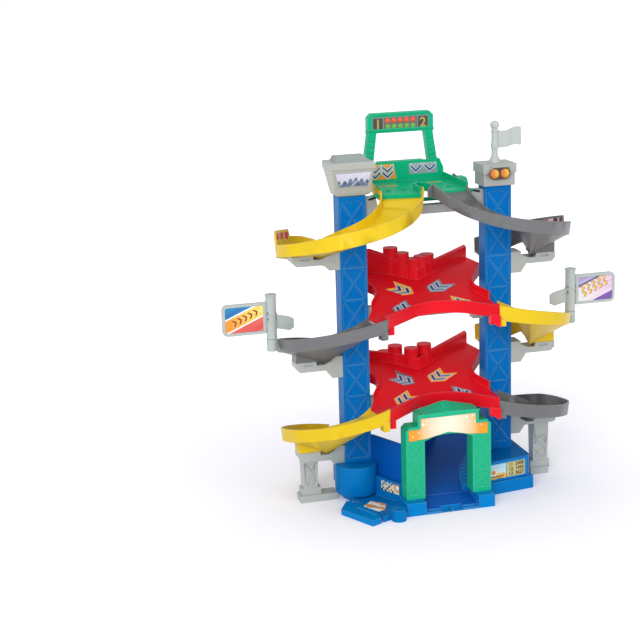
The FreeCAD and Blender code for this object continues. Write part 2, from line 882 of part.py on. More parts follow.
def bracket_profile(side, level, mount_low, mount_high):
    """Front view of a mount, its gusset and the arm, for the right side."""
    top = arm_top(side, level)
    low = top - arm_height
    tip_low = tower_spread + turn_inner - 2
    tip_high = tip_low + keel_width + 4
    return [
        (arm_inner, mount_low), (mount_end, mount_low),
        (mount_end + 12, low), (arm_end - 6, low), (arm_end, low + 6),
        (arm_end, top),
        (tip_high, top), (tip_high - 1, top - keel_depth - 1),
        (tip_low, top - keel_depth - 1), (mount_end, top),
        (mount_end, mount_high), (arm_inner, mount_high)]


def bracket(name, side, level):
    piece = Piece(name)
    top = arm_top(side, level)
    profile = bracket_profile(side, level, top - mount_height + 4, top + 5)
    half = bracket_depth / 2
    piece.pad("XZ", -half, half, [mirrored(profile, side)])
    slot = mirrored(rectangle(arm_end - 26, top - 6, arm_end - 12, top - 3), side)
    piece.pocket("XZ", -half, -half + 2, [slot])


def leg(name, side, panels, pillar_outer, pillar_inner, foot_inner, foot_outer):
    """Arm that stands on a braced pillar with a stepped foot."""
    piece = Piece(name)
    top = arm_top(side, 3)
    half = bracket_depth / 2
    low = top - arm_height
    profile = bracket_profile(side, 3, deck_height + 3, top + 6)
    piece.pad("XZ", -half, half, [mirrored(profile, side)])
    shaft = mirrored(rectangle(pillar_inner, leg_foot_height, pillar_outer, low + 2), side)
    piece.pad("XZ", -half + 2, half - 2, [shaft])
    step = mirrored(rectangle(pillar_inner - 5, leg_foot_height, pillar_outer + 3, leg_foot_height * 2), side)
    piece.pad("XZ", -half + 1, half - 1, [step])
    foot = mirrored(rectangle(foot_inner, 0, foot_outer, leg_foot_height), side)
    piece.pad("XZ", -half - 2, half + 2, [foot])
    panel_low = leg_foot_height * 2 + 3
    pitch = (low - panel_low - 2) / panels
    x_edges = sorted([side * pillar_inner, side * pillar_outer], key=lambda size: size.number)
    for face, inward in ((-half + 2, 1), (half - 2, -1)):
        piece.braced_panels(x_edges[0], x_edges[1], panel_low, pitch, panels, face, inward)


def supports():
    bracket("bracket_left_1", LEFT, 1)
    bracket("bracket_right_1", RIGHT, 1)
    bracket("bracket_left_2", LEFT, 2)
    bracket("bracket_right_2", RIGHT, 2)
    left_outer = arm_end - 6
    leg("leg_left", LEFT, 1, left_outer, left_outer - pillar_width, base_outer - 8, arm_end)
    right_outer = arm_end - 15
    right_inner = right_outer - pillar_width * 0.8
    leg("leg_right", RIGHT, 2, right_outer, right_inner, right_inner - 5, right_outer + 4)


def crossbar(name, level, boss_low, boss_high, rest):
    """Bar between the towers with tall end bosses and, under a plate, a middle pillar."""
    piece = Piece(name)
    end = tower_spread - tower_half_x
    inner = end - boss_width
    profile = [
        (-end, boss_low), (-inner, boss_low), (-inner + 3, level),
        (inner - 3, level), (inner, boss_low), (end, boss_low),
        (end, boss_high), (inner, boss_high), (inner - 3, level + bar_height),
        (-inner + 3, level + bar_height), (-inner, boss_high), (-end, boss_high)]
    half = bar_depth / 2
    piece.pad("XZ", -half, half, [profile])
    if rest is not None:
        piece.pad("YZ", -14, 14, [[
            (-half, level + 1), (half, level + 1), (half, rest[1]), (-half, rest[0])]])
    for way in (-1, 1):
        x_low = inner - 6 if way > 0 else -inner - 18
        recess = rectangle(x_low + 10, boss_low + 4, x_low + 20, boss_high - 4)
        piece.pocket("XZ", -bar_depth / 2, -bar_depth / 2 + 1, [recess])


def crossbars():
    under = platform_top - platform_plate
    crossbar("crossbar_top", under - 31, under - boss_height - 1, under, None)
    slope = (plate_back_floor - plate_front_floor) / (plate_ramp_back + plate_front_apex)
    middle = plate_front_floor - lane_floor + slope * plate_front_apex
    for name, lift in (("crossbar_upper", level_pitch), ("crossbar_lower", as_size(0))):
        rest = (middle + lift - slope * bar_depth / 2, middle + lift + slope * bar_depth / 2)
        crossbar(name, rest[0] - 30, rest[0] - 42, rest[0] - 9, rest)


# Start platform, gate, lever and gantry

def start_platform():
    piece = Piece("start_platform")
    top = platform_top
    under = top - platform_plate
    front_y = -turn_inner / 6
    lane_y = -turn_outer / 5.6
    middle_half = 8.3
    edge = platform_half
    piece.pad("XY", under, top, [[
        (-edge, front_y), (-middle_half - 2, lane_y), (-middle_half, 10),
        (middle_half, 10), (middle_half + 2, lane_y), (edge, front_y),
        (edge, platform_back), (-edge, platform_back)]])
    for side in (LEFT, RIGHT):
        tab = sorted([side * (edge - 1), side * (edge + 19)], key=lambda size: size.number)
        piece.pad("XY", under, top, [rectangle(tab[0], -bar_depth / 2, tab[1], bar_depth / 2)])
        wall = sorted([side * edge, side * (edge - lane_wall)], key=lambda size: size.number)
        piece.pad("XY", top, top + side_wall_rise, [
            rectangle(wall[0], front_y, wall[1], platform_back)])
    piece.pad("XY", top, top + side_wall_rise, [
        [(-middle_half - 2, lane_y), (-middle_half, 10), (0, 24), (middle_half, 10),
         (middle_half + 2, lane_y), (middle_half + 4, lane_y + 2), (middle_half + 3, 12), (0, 30),
         (-middle_half - 3, 12), (-middle_half - 4, lane_y + 2)]])
    back = back_wall_rise + top
    wall_half = edge
    piece.pad("XZ", platform_back, platform_back + back_wall_depth, [[
        (-wall_half, under), (wall_half, under), (wall_half, back - 14), (wall_half - 6, back),
        (-wall_half + 6, back), (-wall_half, back - 14)]])
    half = gantry_leg - 9
    foot = gantry_leg + 14
    for low, high in ((-foot, -half), (half, foot)):
        piece.pocket("XY", back - 6, back, [
            rectangle(low - fit_gap, platform_back + 2 - fit_gap, high + fit_gap,
                      platform_back + 2 + gantry_depth)])
    slots = []
    for x in (-48, -24, 24, 48):
        slots.append(rectangle(x - 4, gate_y - 4.5, x + 4, gate_y + 4.5))
    piece.pocket("XY", under, top, slots)
    ear_low = axle_level - axle_radius - 4
    ears = []
    for low, high in ((-58, -52), (52, 58)):
        piece.pad("YZ", low, high, [[
            (axle_y - 7, under + 1), (axle_y + 7, under + 1), (axle_y + 5, ear_low),
            (axle_y - 5, ear_low)]])
        ears.append((low, high))
    for low, high in ears:
        piece.pocket("YZ", low - 1, high + 1, (), [(axle_y, axle_level, axle_radius + running_gap)])


def start_lever():
    """Side lever with its pad, and the axle it swings on."""
    piece = Piece("start_lever")
    inner = platform_half + 2
    outer = inner + 5
    piece.pad("YZ", inner, outer, [[
        (gate_y - 4, axle_level - 4), (axle_y + 5, axle_level - 4), (axle_y + 5, axle_level + 3),
        (gate_y - 4, axle_level + 3)]])
    pad_outer = tower_inner - 1
    web_high = axle_level + 3
    pad_high = axle_level + 15
    piece.pad("YZ", inner, pad_outer, [rectangle(58, axle_level - 4, 90, web_high)])
    piece.pad("YZ", pad_face, pad_outer, [[
        (58, web_high), (90, web_high), (90, pad_high - 4), (84, pad_high),
        (64, pad_high), (58, pad_high - 4)]])
    piece.pad("YZ", -60, inner, (), [(axle_y, axle_level, axle_radius)])


def start_gate():
    """Cross bar under the platform with four pegs that stand in the lanes."""
    piece = Piece("start_gate")
    high = axle_level - 4
    piece.pad("XY", high - 5, high, [rectangle(-53, gate_y - 3, platform_half + 7, gate_y + 3)])
    pegs = [rectangle(x - 3, gate_y - 2, x + 3, gate_y + 2) for x in (-48, -24, 24, 48)]
    for peg in pegs:
        piece.pad("XY", high - 1, platform_top + peg_rise, [peg])


def start_gantry():
    """Arch over the start with a framed display."""
    piece = Piece("start_gantry")
    low = platform_top + back_wall_rise - 6
    head_low = platform_top + gantry_rise
    head_high = head_low + gantry_header
    half = gantry_half
    front = platform_back + 2
    legs = [
        (-gantry_leg - 14, low), (-gantry_leg + 0.5, low), (-gantry_leg + 7.5, head_low),
        (gantry_leg - 7.5, head_low), (gantry_leg - 0.5, low), (gantry_leg + 14, low),
        (half - 1, head_low), (half, head_low), (half, head_high - 6), (half - 6, head_high),
        (-half + 6, head_high), (-half, head_high - 6), (-half, head_low), (-half + 1, head_low)]
    piece.pad("XZ", front, front + gantry_depth, [legs])
    piece.pad("XZ", front - 2, front, [[
        (-half, head_low), (half, head_low), (half, head_high - 6), (half - 6, head_high),
        (-half + 6, head_high), (-half, head_high - 6)]])
    recess = rectangle(-half + 7, head_low + 3, half - 7, head_high - 3)
    piece.pocket("XZ", front - 2, front, [recess])
    for side in (LEFT, RIGHT):
        rib = mirrored([
            (gantry_leg - 1.5, low + 8), (gantry_leg + 12.5, low + 11), (gantry_leg + 12, low + 14),
            (gantry_leg - 2, low + 11)], side)
        rib_cut = piece.pocket("XZ", front, front + 1.2, [rib])
        piece.repeat(rib_cut, "V_Axis", 9, 4)


# Caps on the towers

def centred(x, y, width, depth):
    return rectangle(x - width / 2, y - depth / 2, x + width / 2, y + depth / 2)


def plug(piece, side):
    """Stub under a cap that fills the top of a tower."""
    piece.pad("XY", tower_top - cap_plug, tower_top, [tower_rectangle(side, tower_wall + fit_gap)])


def control_cab():
    """Flared cab with a window band and a stepped roof."""
    x = -tower_spread
    low = tower_top
    brow = low + cab_flare
    cab = Piece("control_cab")
    plug(cab, LEFT)
    floor_plan = centred(x, 0, cab_floor_width, cab_floor_depth)
    brow_plan = centred(x, 0, cab_brow_width, cab_brow_depth)
    cab.loft("XY", low, brow, floor_plan, brow_plan)
    cab.pad("XY", brow, brow + cab_fascia, [brow_plan])
    roof = Piece("control_cab_roof")
    slab_low = brow + cab_fascia
    roof.loft(
        "XY", slab_low, slab_low + 3, brow_plan,
        centred(x, 0, cab_brow_width - 10, cab_brow_depth - 12))
    roof.pad("XY", slab_low + 3, slab_low + 3 + cab_roof_height, [
        centred(x, 0, cab_brow_width - 16, cab_brow_depth - 20)])
    window = Piece("control_cab_window")

    def pane(rise, half_width):
        share = rise / cab_flare
        face = -cab_floor_depth / 2 - (cab_brow_depth - cab_floor_depth) / 2 * share
        return rectangle(x - half_width, face - 1, x + half_width, face)

    sill = as_size(5)
    head = cab_flare - 4
    window.loft("XY", low + sill, low + head, pane(sill, 20), pane(head, 28))


def lamp_housing():
    """Box with a wider rim, twin lamps in a bezel under a hood."""
    x = tower_spread
    low = tower_top
    rim = low + lamp_height
    housing = Piece("lamp_housing")
    plug(housing, RIGHT)
    housing.pad("XY", low, rim, [centred(x, 0, lamp_width, lamp_depth)])
    housing.pad("XY", rim, rim + lamp_rim_height, [centred(x, 0, lamp_rim_width, lamp_rim_depth)])
    front = -lamp_rim_depth / 2
    half = lens_spacing / 2
    reach = lens_radius + 2
    housing.pad("XZ", front, -lamp_depth / 2 + 1, [stadium(x, rim, half, reach)])
    hood_high = rim + lamp_rim_height - 2
    housing.pad("XZ", front - 4, front, [[
        (x - half - reach - 0.4, rim + 2), (x - half - reach - 2, rim + 2),
        (x - half - 5, hood_high), (x + half + 5, hood_high),
        (x + half + reach + 2, rim + 2), (x + half + reach + 0.4, rim + 2),
        (x + half + 4.5, hood_high - 2.4), (x - half - 4.5, hood_high - 2.4)]])
    bezel = Piece("lamp_bezel")
    bezel.pad("XZ", front - bezel_depth, front, [stadium(x, rim, half, reach)])
    holes = [(x - half, rim, lens_radius + fit_gap), (x + half, rim, lens_radius + fit_gap)]
    bezel.pocket("XZ", front - bezel_depth, front, (), holes)
    for word, lens_x in (("left", x - half), ("right", x + half)):
        lens = Piece(f"lamp_lens_{word}")
        lens.pad("XZ", front - bezel_depth - 1, front, (), [(lens_x, rim, lens_radius)])


def stadium(x, z, half, radius):
    """Slot outline with round ends, as corners and bends in a front view."""
    return [
        Bend(x - half, z - radius, radius, (x - half, z)),
        (x + half, z - radius),
        Bend(x + half + radius, z, radius, (x + half, z)),
        Bend(x + half, z + radius, radius, (x + half, z)),
        (x - half, z + radius),
        Bend(x - half - radius, z, radius, (x - half, z))]


def flag():
    """Pole with collars and a ball, and a waving flag on a sleeve."""
    foot = tower_top + lamp_height + lamp_rim_height
    pole = Piece("flag_pole", tower_spread, 0, foot)
    collar = pole_radius * 1.15
    ball_low = pole_height - (ball_radius * ball_radius - collar * collar).root()
    pole.revolve([
        (0, 0), (pole_radius * 2, 0), (pole_radius * 2, 3), (pole_radius * 1.3, 13),
        (pole_radius * 1.3, 17), (pole_radius, 17), (pole_radius, ball_low - 3.5),
        (collar, ball_low - 3.5), (collar, ball_low),
        Bend(0, pole_height + ball_radius, ball_radius, (0, pole_height))])
    low = foot.number + 21
    high = low + flag_height.number
    inner = pole_radius.number + fit_gap.number
    outer = inner + 1.6
    x = tower_spread.number
    sleeve = Part.makeCylinder(outer, high - low - 4, FreeCAD.Vector(x, 0, low))
    bore = Part.makeCylinder(inner, high - low, FreeCAD.Vector(x, 0, low))
    steps = 14
    near = []
    far = []
    for step in range(steps + 1):
        share = step / steps
        along = x + inner + 0.8 + share * flag_width.number
        wave = flag_wave.number * math.sin(2.2 * math.pi * share) * share ** 0.5
        sag = -4 * share * share + 2 * math.sin(2 * math.pi * share)
        near.append((along, wave - flag_thickness.number / 2, sag))
        far.append((along, wave + flag_thickness.number / 2, sag))
    wires = []
    for (x_near, y_near, sag), (x_far, y_far, _) in zip(near, far):
        points = [
            FreeCAD.Vector(x_near, y_near, low + sag), FreeCAD.Vector(x_far, y_far, low + sag),
            FreeCAD.Vector(x_far, y_far, high + sag), FreeCAD.Vector(x_near, y_near, high + sag)]
        wires.append(Part.makePolygon(points + points[:1]))
    cloth = Part.makeLoft(wires, True, True)
    moulded("flag", sleeve.fuse(cloth).cut(bore).removeSplitter())


# Signs that turn on pins beside the level 2 turns

def post_x(side):
    return side * (tower_spread + turn_outer + post_offset)


def socket_top(side):
    floor = left_side_floor if side == LEFT else right_side_floor
    return floor + wall_height + 1


def sign(name, side):
    """Hollow post with a board outwards and a paddle over the lane, one moulding."""
    piece = Piece(name, post_x(side), 0, socket_top(side) + 2 * joint_gap)
    piece.pad("XY", 0, post_length, (), [(0, 0, post_radius)])
    half = board_thickness / 2
    high = board_lift + board_height
    corner_x = sign_reach - board_corner
    board = [
        (post_radius - 2, board_lift), (corner_x, board_lift), (sign_reach, board_lift + board_corner),
        (sign_reach, high - board_corner), (corner_x, high), (post_radius - 2, high)]
    piece.pad("XZ", -half, half, [mirrored(board, side)])
    paddle_high = board_lift + paddle_height
    inner = paddle_reach - board_corner
    paddle = [
        (-post_radius + 2, board_lift), (-inner, board_lift), (-paddle_reach, board_lift + board_corner / 2),
        (-paddle_reach, paddle_high - board_corner / 2), (-inner, paddle_high), (-post_radius + 2, paddle_high)]
    piece.pad("XZ", -half, half, [mirrored(paddle, side)])
    piece.pocket("XY", 0, pin_length + 1, (), [(0, 0, pin_radius + running_gap)])


def sign_socket(name, side):
    """Cup on the turn's outer wall, with the pin that the sign turns on."""
    top = socket_top(side)
    piece = Piece(name, post_x(side), 0, top)
    piece.pad("XY", -socket_height, 0, (), [(0, 0, post_radius + 0.5)])
    piece.pad("XY", -0.5, pin_length, (), [(0, 0, pin_radius)])
    edge = turn_outer + joint_gap / 2
    piece.pocket("XY", -socket_height, 0, (), [(post_x(side) * -1 + side * tower_spread, 0, edge)])


def signs():
    for side, word in ((LEFT, "left"), (RIGHT, "right")):
        sign_socket(f"{word}_sign_socket", side)
        sign(f"{word}_sign", side)


# Base, exit ramp and arch

def tower_stub(piece, side):
    """Stub that stands up from a pedestal inside the tower."""
    inner = tower_wall + fit_gap + spigot_wall
    piece.pad("XY", deck_height - 1, deck_height + spigot_length, [
        tower_rectangle(side, tower_wall + fit_gap), tower_rectangle(side, inner)])


def base_left():
    """Pedestal with a round front, a slab to the arch, a sticker wall and a hitching peg."""
    piece = Piece("base_left")
    inner = tower_inner + side_gap
    radius = as_size(48)
    middle = (base_outer + inner) / 2
    half = (base_outer - inner) / 2
    round_y = as_size(15)
    side_y = round_y - (radius * radius - half * half).root()
    piece.pad("XY", pedestal_step, deck_height, [[
        (-inner, waist_back), (-base_outer, waist_back), (-base_outer, side_y),
        Bend(-inner, side_y, radius, (-middle, round_y))]])
    step = base_outer - 13
    piece.pad("XY", 0, pedestal_step, [[
        (-inner, waist_back), (-step, waist_back), (-step, side_y - 8), (-inner, side_y - 8)]])
    slab_front = -sill_front
    slab_outer = base_outer - plate_offset
    piece.pad("XY", 0, slab_height, [[
        (-inner, -tower_half_y), (-inner, 0), (-slab_outer - 22, 0), (-slab_outer - 22, -54),
        (-slab_outer, -100),
        (-slab_outer, slab_front - 8), (-tower_inner, slab_front), (-sill_left, slab_front),
        (-sill_left, arch_back)]])
    piece.pad("XY", 0, peg_height, (), [(-tower_inner + 7, slab_front - 6, peg_radius)])
    wall_front = -tower_half_y - 6
    wall_foot = arch_back + side_gap
    piece.pad("XY", 0, sticker_plinth, [[
        (-tower_inner - 7, wall_front), (-arch_half - 4, wall_foot), (-arch_half + 4.4, wall_foot),
        (-inner, wall_front + 6)]])
    tower_stub(piece, LEFT)


def entry_plate():
    """Low plate where a toy rolls on, at the front left corner."""
    piece = Piece("entry_plate")
    inner = plate_offset - base_outer - joint_gap
    piece.pad("XY", 0, slab_height + 1, [[
        (inner - 47, -78), (inner - 16, -139), (inner, slab_end), (inner, -100),
        (inner - 22, -54), (inner - 30, -47)]])
    piece.pocket("XY", slab_height, slab_height + 1, [[
        (inner - 28, -88), (inner - 14, -122), (inner - 5, -116), (inner - 22, -76)]])


def base_right():
    """Pedestal with a sloping front face and a wider plinth."""
    piece = Piece("base_right")
    inner = tower_inner + side_gap
    outer = base_outer - 7
    front_y = arch_back + side_gap
    piece.pad("XY", 0, deck_height, [[
        (arch_half, front_y + 4), (outer - 4, -60), (outer, -54), (outer, waist_back),
        (inner, waist_back), (inner, -tower_half_y - 3)]])
    piece.pad("XY", 0, plinth_height, [[
        (arch_half, front_y), (outer + 2, -66), (outer + 2, waist_back), (inner, waist_back),
        (inner, -tower_half_y - 3), (arch_half, front_y + 5)]])
    tower_stub(piece, RIGHT)


def ramp_floor_line(y):
    """Ramp floor height; it falls straight to the lip at the front."""
    return ramp_low.number + ramp_slope.number * (y + lip_front.number)


def ramp_outline(inset, front, end):
    """Plan of the exit ramp: a wide back, a waist between the towers, a funnel to the arch."""
    back = turn_outer.number - inset
    waist = tower_inner.number - joint_gap.number - inset
    waist_front = -tower_half_y.number
    gate = arch_half.number - 5 - inset
    end_angle = EXIT_ANGLE + math.degrees(joint_gap.number / turn_inner.number) - end
    right = [
        (gate, arch_back.number + front), (waist, waist_front), (waist, waist_back.number),
        polar(RIGHT, turn_inner.number + inset, end_angle), polar(RIGHT, back, end_angle)]
    left = [(-x, y) for x, y in reversed(right)]
    points = [FreeCAD.Vector(x, y, 0) for x, y in right + left]
    return Part.makePolygon(points + points[:1])


def exit_ramp():
    """Funnel with tall walls that gathers both lanes and lets them roll to the arch."""
    wall = ramp_wall.number
    top = ramp_wall_top.number
    reach = turn_outer.number
    half = tower_spread.number + turn_outer.number
    shell = prism(ramp_outline(0, joint_gap.number, 0), 0, top)
    lane = prism(ramp_outline(wall, -wall - 1, 2), 0, top + 1)
    above = side_band([
        (-reach * 1.2, ramp_floor_line(-reach * 1.2)), (reach * 1.2, ramp_floor_line(reach * 1.2)),
        (reach * 1.2, top + 1), (-reach * 1.2, top + 1)], -half, half)
    under = side_band([
        (-reach * 1.2, ramp_floor_line(-reach * 1.2) - lane_floor.number),
        (reach * 1.2, ramp_floor_line(reach * 1.2) - lane_floor.number), (reach * 1.2, -1),
        (-reach * 1.2, -1)], -half, half)
    foot_half = ramp_foot_depth.number / 2
    foot_top = ramp_floor_line(-foot_half) - lane_floor.number / 2
    foot = box_between(-ramp_foot_half.number, ramp_foot_half.number, -foot_half, foot_half, 0, foot_top)
    shape = shell.cut(lane.common(above)).cut(lane.common(under)).fuse(foot)
    moulded("exit_ramp", shape.removeSplitter())


def front_sill():
    """Plinths under the arch's pillars with the lip and its connector notch."""
    piece = Piece("front_sill")
    back = arch_back
    gate = arch_gate_half + 4
    piece.pad("XY", 0, 2, [rectangle(-sill_left, -sill_front, arch_half, back)])
    for x_low, x_high in ((-sill_left, -gate), (gate, arch_half)):
        piece.pad("XY", 0, plinth_height, [rectangle(x_low, -sill_front, x_high, back)])
    low = ramp_low - 1
    rise = ramp_slope * (lip_front + back)
    piece.pad("YZ", -gate, gate, [[
        (-lip_front, 0), (back, 0), (back, low + rise), (-lip_front, low)]])
    piece.pad("YZ", -gate, gate, [rectangle(-sill_front + 1, 0, -lip_front, low - 2)])
    piece.pocket("XY", 1, low + 2, [rectangle(-17, -sill_front - 1, 17, -lip_front + 5)])
    piece.pad("XY", 0, 3.5, [rectangle(-1.5, -sill_front + 1, 1.5, -lip_front + 4)])


def finish_arch():
    """Gate over the exit: braced pillars, a stepped header and a ribbed roof."""
    piece = Piece("finish_arch")
    low = plinth_height
    front = -arch_front
    back = arch_back
    half = arch_half
    gate = arch_gate_half
    roof = arch_roof_half
    crown = arch_crown
    radius = (gate * gate + crown * crown) / (2 * crown)
    opening_top = (0, arch_opening + crown - radius)
    piece.pad("XZ", front, back, [[
        (-half, low), (-gate, low), (-gate, arch_opening),
        Bend(gate, arch_opening, radius, opening_top),
        (gate, low), (half, low), (half, arch_shoulder - 6), (half - 6, arch_shoulder),
        (roof, arch_shoulder), (roof, arch_brow), (-roof, arch_brow), (-roof, arch_shoulder),
        (-half + 6, arch_shoulder), (-half, arch_shoulder - 6)]])
    piece.loft(
        "XZ", front, back,
        [(-roof, arch_brow), (roof, arch_brow), (roof, arch_brow + 0.5), (0, arch_brow + 1.5),
         (-roof, arch_brow + 0.5)],
        [(-roof, arch_brow), (roof, arch_brow), (roof, arch_eave), (0, arch_peak), (-roof, arch_eave)])
    piece.pocket("XZ", front, front + 1.5, [[
        (-half + 4, arch_opening + 1), (-gate + 4, arch_opening + 3), (0, arch_opening + crown + 2),
        (gate - 4, arch_opening + 3), (half - 4, arch_opening + 1), (half - 4, arch_shoulder - 4),
        (roof - 4, arch_shoulder - 4), (roof - 4, arch_brow - 4), (-roof + 4, arch_brow - 4),
        (-roof + 4, arch_shoulder - 4), (-half + 4, arch_shoulder - 4)]])
    pitch = (arch_opening - low - 6) / 3
    for x_low, x_high in ((-half, -gate), (gate, half)):
        piece.braced_panels(x_low, x_high, low + 6, pitch, 3, front, 1)


def check_document():
    """Stop if any object failed, or a cut removed nothing."""
    for thing in doc.Objects:
        for state in ("Invalid", "Error"):
            if state in thing.State:
                raise RuntimeError(f"{thing.Label} is {thing.State}")
        if thing.TypeId == "PartDesign::Pocket":
            before = thing.BaseFeature.Shape.Volume
            if thing.Shape.Volume > before - 0.01:
                raise RuntimeError(f"{thing.Label} cuts nothing")
    for piece in pieces:
        if piece.Shape.isNull() or not piece.Shape.isValid():
            raise RuntimeError(f"{piece.Label} has no valid shape")


towers()
turns()
plates()
supports()
crossbars()
start_platform()
start_lever()
start_gate()
start_gantry()
control_cab()
lamp_housing()
flag()
signs()
base_left()
entry_plate()
base_right()
exit_ramp()
front_sill()
finish_arch()
doc.recompute()
check_document()
for piece in pieces:
    piece.Shape.exportStep(f"parts/{piece.Label}.step")
print(len(pieces), "sub-parts written")
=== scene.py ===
import json
import math

import bpy
from mathutils import Matrix, Vector

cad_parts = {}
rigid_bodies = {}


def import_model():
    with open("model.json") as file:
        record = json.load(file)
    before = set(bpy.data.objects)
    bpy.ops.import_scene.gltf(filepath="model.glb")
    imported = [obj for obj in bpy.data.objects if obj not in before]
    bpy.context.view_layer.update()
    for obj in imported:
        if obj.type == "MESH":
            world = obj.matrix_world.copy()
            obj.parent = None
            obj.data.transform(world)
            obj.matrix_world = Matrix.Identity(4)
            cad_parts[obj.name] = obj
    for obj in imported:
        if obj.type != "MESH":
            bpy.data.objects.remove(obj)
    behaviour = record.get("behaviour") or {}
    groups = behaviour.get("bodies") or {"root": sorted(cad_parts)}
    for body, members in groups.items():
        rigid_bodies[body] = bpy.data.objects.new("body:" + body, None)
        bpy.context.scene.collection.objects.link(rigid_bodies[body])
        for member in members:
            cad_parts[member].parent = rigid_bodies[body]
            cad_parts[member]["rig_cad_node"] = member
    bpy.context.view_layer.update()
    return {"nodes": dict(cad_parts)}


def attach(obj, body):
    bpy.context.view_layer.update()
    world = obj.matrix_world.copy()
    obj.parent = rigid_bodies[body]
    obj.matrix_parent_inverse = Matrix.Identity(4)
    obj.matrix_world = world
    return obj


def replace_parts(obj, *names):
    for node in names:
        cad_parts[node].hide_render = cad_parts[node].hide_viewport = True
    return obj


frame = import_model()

nodes = frame["nodes"]
MM = 0.001
SIDES = (("left", -1), ("right", 1))


def tint(red, green, blue):
    """A colour of 0 to 255 for each part, turned by the sRGB curve into linear values."""
    parts = [part / 255 for part in (red, green, blue)]
    return tuple(
        part / 12.92 if part <= 0.04045 else ((part + 0.055) / 1.055) ** 2.4 for part in parts
    ) + (1.0,)


def shade(colour, factor):
    """The same colour, lighter or darker by a factor."""
    return tuple(min(part * factor, 1.0) for part in colour[:3]) + (1.0,)


def socket_of(sockets, key):
    """A node's socket by number, identifier or name."""
    if isinstance(key, int):
        return sockets[key]
    for socket in sockets:
        if socket.identifier == key:
            return socket
    return sockets[key]


def maths(operation):
    """A method of Term that adds one Math node."""
    def method(self, *others):
        sockets = dict(enumerate((self, *others)))
        return self.graph.add("ShaderNodeMath", {"operation": operation}, sockets)
    return method


class Term:
    """A value in a material. Python's operators on it add Math nodes."""

    __add__ = __radd__ = maths("ADD")
    __sub__ = maths("SUBTRACT")
    __mul__ = __rmul__ = maths("MULTIPLY")
    __truediv__ = maths("DIVIDE")
    __mod__ = maths("FLOORED_MODULO")
    __pow__ = maths("POWER")
    __gt__ = maths("GREATER_THAN")
    __lt__ = maths("LESS_THAN")
    __and__ = maths("MINIMUM")
    __or__ = maths("MAXIMUM")
    __abs__ = maths("ABSOLUTE")
    floor = maths("FLOOR")
    sine = maths("SINE")

    def __init__(self, graph, socket):
        self.graph = graph
        self.socket = socket

    def __rsub__(self, other):
        return self.graph.add("ShaderNodeMath", {"operation": "SUBTRACT"}, {0: other, 1: self})

    def out(self, key):
        """Another output of the same node."""
        return Term(self.graph, socket_of(self.socket.node.outputs, key))

    def clamped(self):
        """The value, kept between 0 and 1."""
        settings = {"operation": "ADD", "use_clamp": True}
        return self.graph.add("ShaderNodeMath", settings, {0: self, 1: 0.0})

    def between(self, low, high):
        """1 where the value lies between low and high, else 0."""
        return (self > low) & (self < high)


class Graph:
    """The nodes of a material or of the room."""

    def __init__(self, tree):
        self.tree = tree

    def add(self, kind, settings=(), sockets=(), output=0):
        """Adds a node: its settings first, then its sockets' values and links."""
        node = self.tree.nodes.new(kind)
        for setting, value in dict(settings).items():
            setattr(node, setting, value)
        for key, value in dict(sockets).items():
            self.feed(socket_of(node.inputs, key), value)
        return Term(self, socket_of(node.outputs, output))

    def feed(self, socket, value):
        """Links a term to a socket, or sets the socket's own value."""
        if isinstance(value, Term):
            self.tree.links.new(value.socket, socket)
        else:
            socket.default_value = value


class Finish(Graph):
    """A material in the making."""

    def __init__(self, name):
        self.material = bpy.data.materials.new(name)
        self.material.use_nodes = True
        super().__init__(self.material.node_tree)
        self.shader = self.tree.nodes["Principled BSDF"]
        self.place = self.add("ShaderNodeTexCoord").out("Object")

    def done(self, **sockets):
        """The material, with sockets of its main shader set or linked (_ for a blank in a name)."""
        for name, value in sockets.items():
            self.feed(self.shader.inputs[name.replace("_", " ")], value)
        return self.material

    def mix(self, factor, low, high):
        """The colour low where factor is 0 and high where it is 1."""
        sockets = {"Factor_Float": factor, "A_Color": low, "B_Color": high}
        return self.add("ShaderNodeMix", {"data_type": "RGBA"}, sockets, "Result_Color")

    def over(self, colour, *layers):
        """A colour with layers over it, each a mask and the colour to show where the mask is 1."""
        for mask, layer in layers:
            colour = self.mix(mask, colour, layer)
        return colour

    def noise(self, per_metre, detail=2.0, place=None):
        """Even noise between 0 and 1 with so many waves to the metre."""
        sockets = {
            "Vector": place or self.place, "Scale": per_metre, "Detail": detail, "Roughness": 0.55}
        return self.add("ShaderNodeTexNoise", {}, sockets)

    def turned(self, centre, turn, size):
        """Object coordinates measured from centre, turned back by turn and divided by size."""
        sockets = {"Vector": self.place, "Location": centre, "Rotation": turn, "Scale": size}
        return self.add("ShaderNodeMapping", {"vector_type": "TEXTURE"}, sockets)

    def axes(self, vector):
        """The three numbers of a vector."""
        parts = self.add("ShaderNodeSeparateXYZ", {}, {0: vector})
        return parts, parts.out(1), parts.out(2)

    def millimetres(self, centre=(0, 0, 0)):
        """The three coordinates in millimetres from a centre."""
        return self.axes(self.turned(Vector(centre) * MM, (0, 0, 0), (MM, MM, MM)))

    def bump(self, height, distance, **sockets):
        """A surface raised by height times distance."""
        sockets |= {"Height": height, "Distance": distance, "Strength": 1.0}
        return self.add("ShaderNodeBump", {}, sockets)


FLOW_WAVES = 9.0
SMEAR_WAVES = 46.0
SKIN_WAVES = 420.0
SKIN_DEPTH = 0.00004
PLASTIC_ROUGHNESS = 0.34


